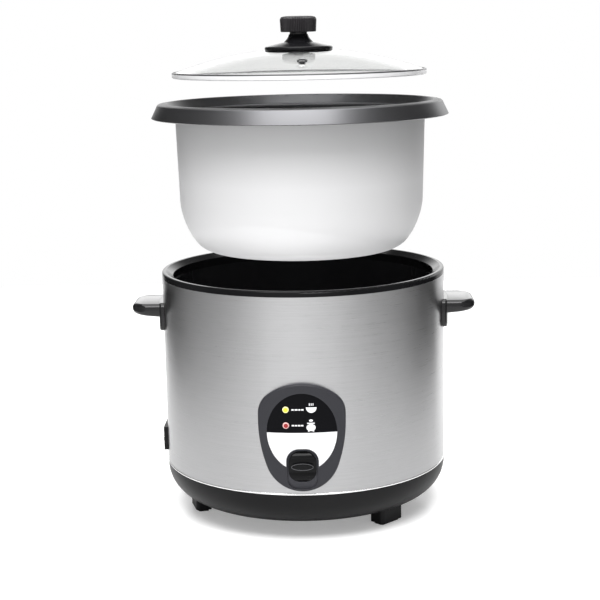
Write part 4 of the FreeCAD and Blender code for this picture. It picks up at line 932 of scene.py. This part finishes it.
def studio_world():
    """White backdrop for the camera and through glass, and walls to mirror that darken towards the back."""
    world = bpy.data.worlds.new("Studio")
    bpy.context.scene.world = world
    world.use_nodes = True
    tree = world.node_tree
    tree.nodes.clear()
    way = tree.nodes.new("ShaderNodeTexCoord")
    split = tree.nodes.new("ShaderNodeSeparateXYZ")
    tree.links.new(way.outputs["Generated"], split.inputs["Vector"])
    around = around_share(tree, split)
    under = grey_ramp(tree, around, [(0.0, 1.0), (0.07, 0.9)] + WALL_GREYS)
    over = grey_ramp(tree, around, [(0.0, 2.2), (0.06, 2.0)] + WALL_GREYS)
    walls = rising_mix(tree, split.outputs["Z"], 0.07, 0.12, under, over)
    ceiling = grey_ramp(tree, around, [(0.0, 0.35), (0.3, 0.16), (0.6, 0.25), (0.85, 0.6), (1.0, 0.9)])
    sky = rising_mix(tree, split.outputs["Z"], 0.2, 0.5, walls, ceiling)
    light = tree.nodes.new("ShaderNodeBackground")
    tree.links.new(sky, light.inputs["Color"])
    light.inputs["Strength"].default_value = 1.0
    backdrop = tree.nodes.new("ShaderNodeBackground")
    backdrop.inputs["Color"].default_value = (1, 1, 1, 1)
    backdrop.inputs["Strength"].default_value = 1.0
    path = tree.nodes.new("ShaderNodeLightPath")
    through = tree.nodes.new("ShaderNodeMath")
    through.operation = "MAXIMUM"
    tree.links.new(path.outputs["Is Camera Ray"], through.inputs[0])
    tree.links.new(path.outputs["Is Transmission Ray"], through.inputs[1])
    choose = tree.nodes.new("ShaderNodeMixShader")
    tree.links.new(through.outputs[0], choose.inputs["Fac"])
    tree.links.new(light.outputs["Background"], choose.inputs[1])
    tree.links.new(backdrop.outputs["Background"], choose.inputs[2])
    leave = tree.nodes.new("ShaderNodeOutputWorld")
    tree.links.new(choose.outputs["Shader"], leave.inputs["Surface"])


def make_floor():
    """Pale floor, brighter for the camera alone."""
    shape = bmesh.new()
    bmesh.ops.create_grid(shape, x_segments=1, y_segments=1, size=1)
    bmesh.ops.scale(shape, vec=(*FLOOR_HALF, 1), verts=shape.verts[:])
    made, tree, shader = material("floor_pale", (0.93, 0.93, 0.93), 0.0, 0.22)
    shader.inputs["Emission Color"].default_value = (1, 1, 1, 1)
    path = tree.nodes.new("ShaderNodeLightPath")
    lift = tree.nodes.new("ShaderNodeMath")
    lift.operation = "MULTIPLY"
    lift.inputs[1].default_value = FLOOR_LIFT
    tree.links.new(path.outputs["Is Camera Ray"], lift.inputs[0])
    tree.links.new(lift.outputs[0], shader.inputs["Emission Strength"])
    shader.inputs["Specular IOR Level"].default_value = 0.15
    grained(tree, shader, 0.2, 0.24)
    floor = finish_mesh("floor", shape, [made])


def add_lights():
    """Soft light from the front and from above, and one lamp below that lights only the pot."""
    add_softbox("key_softbox", (-0.05, -1.05, 1.95), (0, 0, 0.35), 1.8, 0.9, 42)
    add_softbox("top_softbox", (0, 0.35, 2.2), (0, 0.35, 0), 2.2, 2.2, 46)
    fill = add_softbox("pot_fill", (-0.14, -0.35, -0.5), (0, 0, 0.3), 0.9, 0.5, 10.5)
    fill.data.specular_factor = 0
    lit = bpy.data.collections.new("lit_by_pot_fill")
    lit.objects.link(bpy.data.objects["cooking_pot"])
    fill.light_linking.receiver_collection = lit
    fill.light_linking.blocker_collection = lit


def aim_camera(scene):
    """Camera that sees the object as the photograph does."""
    lens_data = bpy.data.cameras.new("photo_camera")
    lens_data.sensor_width = CAMERA_SENSOR
    lens_data.lens = CAMERA_LENS
    camera = bpy.data.objects.new("photo_camera", lens_data)
    scene.collection.objects.link(camera)
    level = math.cos(CAMERA_PITCH)
    ahead = Vector((math.sin(CAMERA_YAW) * level, math.cos(CAMERA_YAW) * level, -math.sin(CAMERA_PITCH)))
    right = Vector((math.cos(CAMERA_YAW), -math.sin(CAMERA_YAW), 0))
    above = right.cross(ahead)
    across = right * math.cos(CAMERA_ROLL) + above * math.sin(CAMERA_ROLL)
    upward = above * math.cos(CAMERA_ROLL) - right * math.sin(CAMERA_ROLL)
    view = Matrix((across, upward, -ahead)).transposed().to_4x4()
    view.translation = Vector(CAMERA_PLACE)
    camera.matrix_world = Matrix.Rotation(CAMERA_AROUND, 4, "Z") @ view
    scene.camera = camera


class COOKER_OT_stage(bpy.types.Operator):
    """Make the floor, the surroundings, the lights and the camera"""
    bl_idname = "cooker.stage"
    bl_label = "Stage"

    def execute(self, context):
        context.scene.view_settings.view_transform = "Standard"
        make_floor()
        studio_world()
        add_lights()
        aim_camera(context.scene)
        return {"FINISHED"}


class COOKER_PT_panel(bpy.types.Panel):
    """Lists the steps that dress the rice cooker"""
    bl_label = "Rice cooker"
    bl_space_type = "VIEW_3D"
    bl_region_type = "UI"
    bl_category = "Rice cooker"

    def draw(self, context):
        for group in (context.scene.cooker_sizes, context.scene.cooker_colours):
            for name in group.__annotations__:
                self.layout.prop(group, name)
        for step in STEPS:
            self.layout.operator(step.bl_idname)


STEPS = (COOKER_OT_finishes, COOKER_OT_body, COOKER_OT_panel, COOKER_OT_pot, COOKER_OT_lid, COOKER_OT_knob,
         COOKER_OT_works, COOKER_OT_stage)
CLASSES = (CookerSizes, CookerColours) + STEPS + (COOKER_PT_panel,)


def register():
    for cls in CLASSES:
        bpy.utils.register_class(cls)
    bpy.types.Scene.cooker_sizes = PointerProperty(type=CookerSizes)
    bpy.types.Scene.cooker_colours = PointerProperty(type=CookerColours)


def unregister():
    del bpy.types.Scene.cooker_colours
    del bpy.types.Scene.cooker_sizes
    for cls in reversed(CLASSES):
        bpy.utils.unregister_class(cls)


def main():
    register()
    for step in STEPS:
        family, action = step.bl_idname.split(".")
        getattr(getattr(bpy.ops, family), action)()


if __name__ == "__main__":
    main()
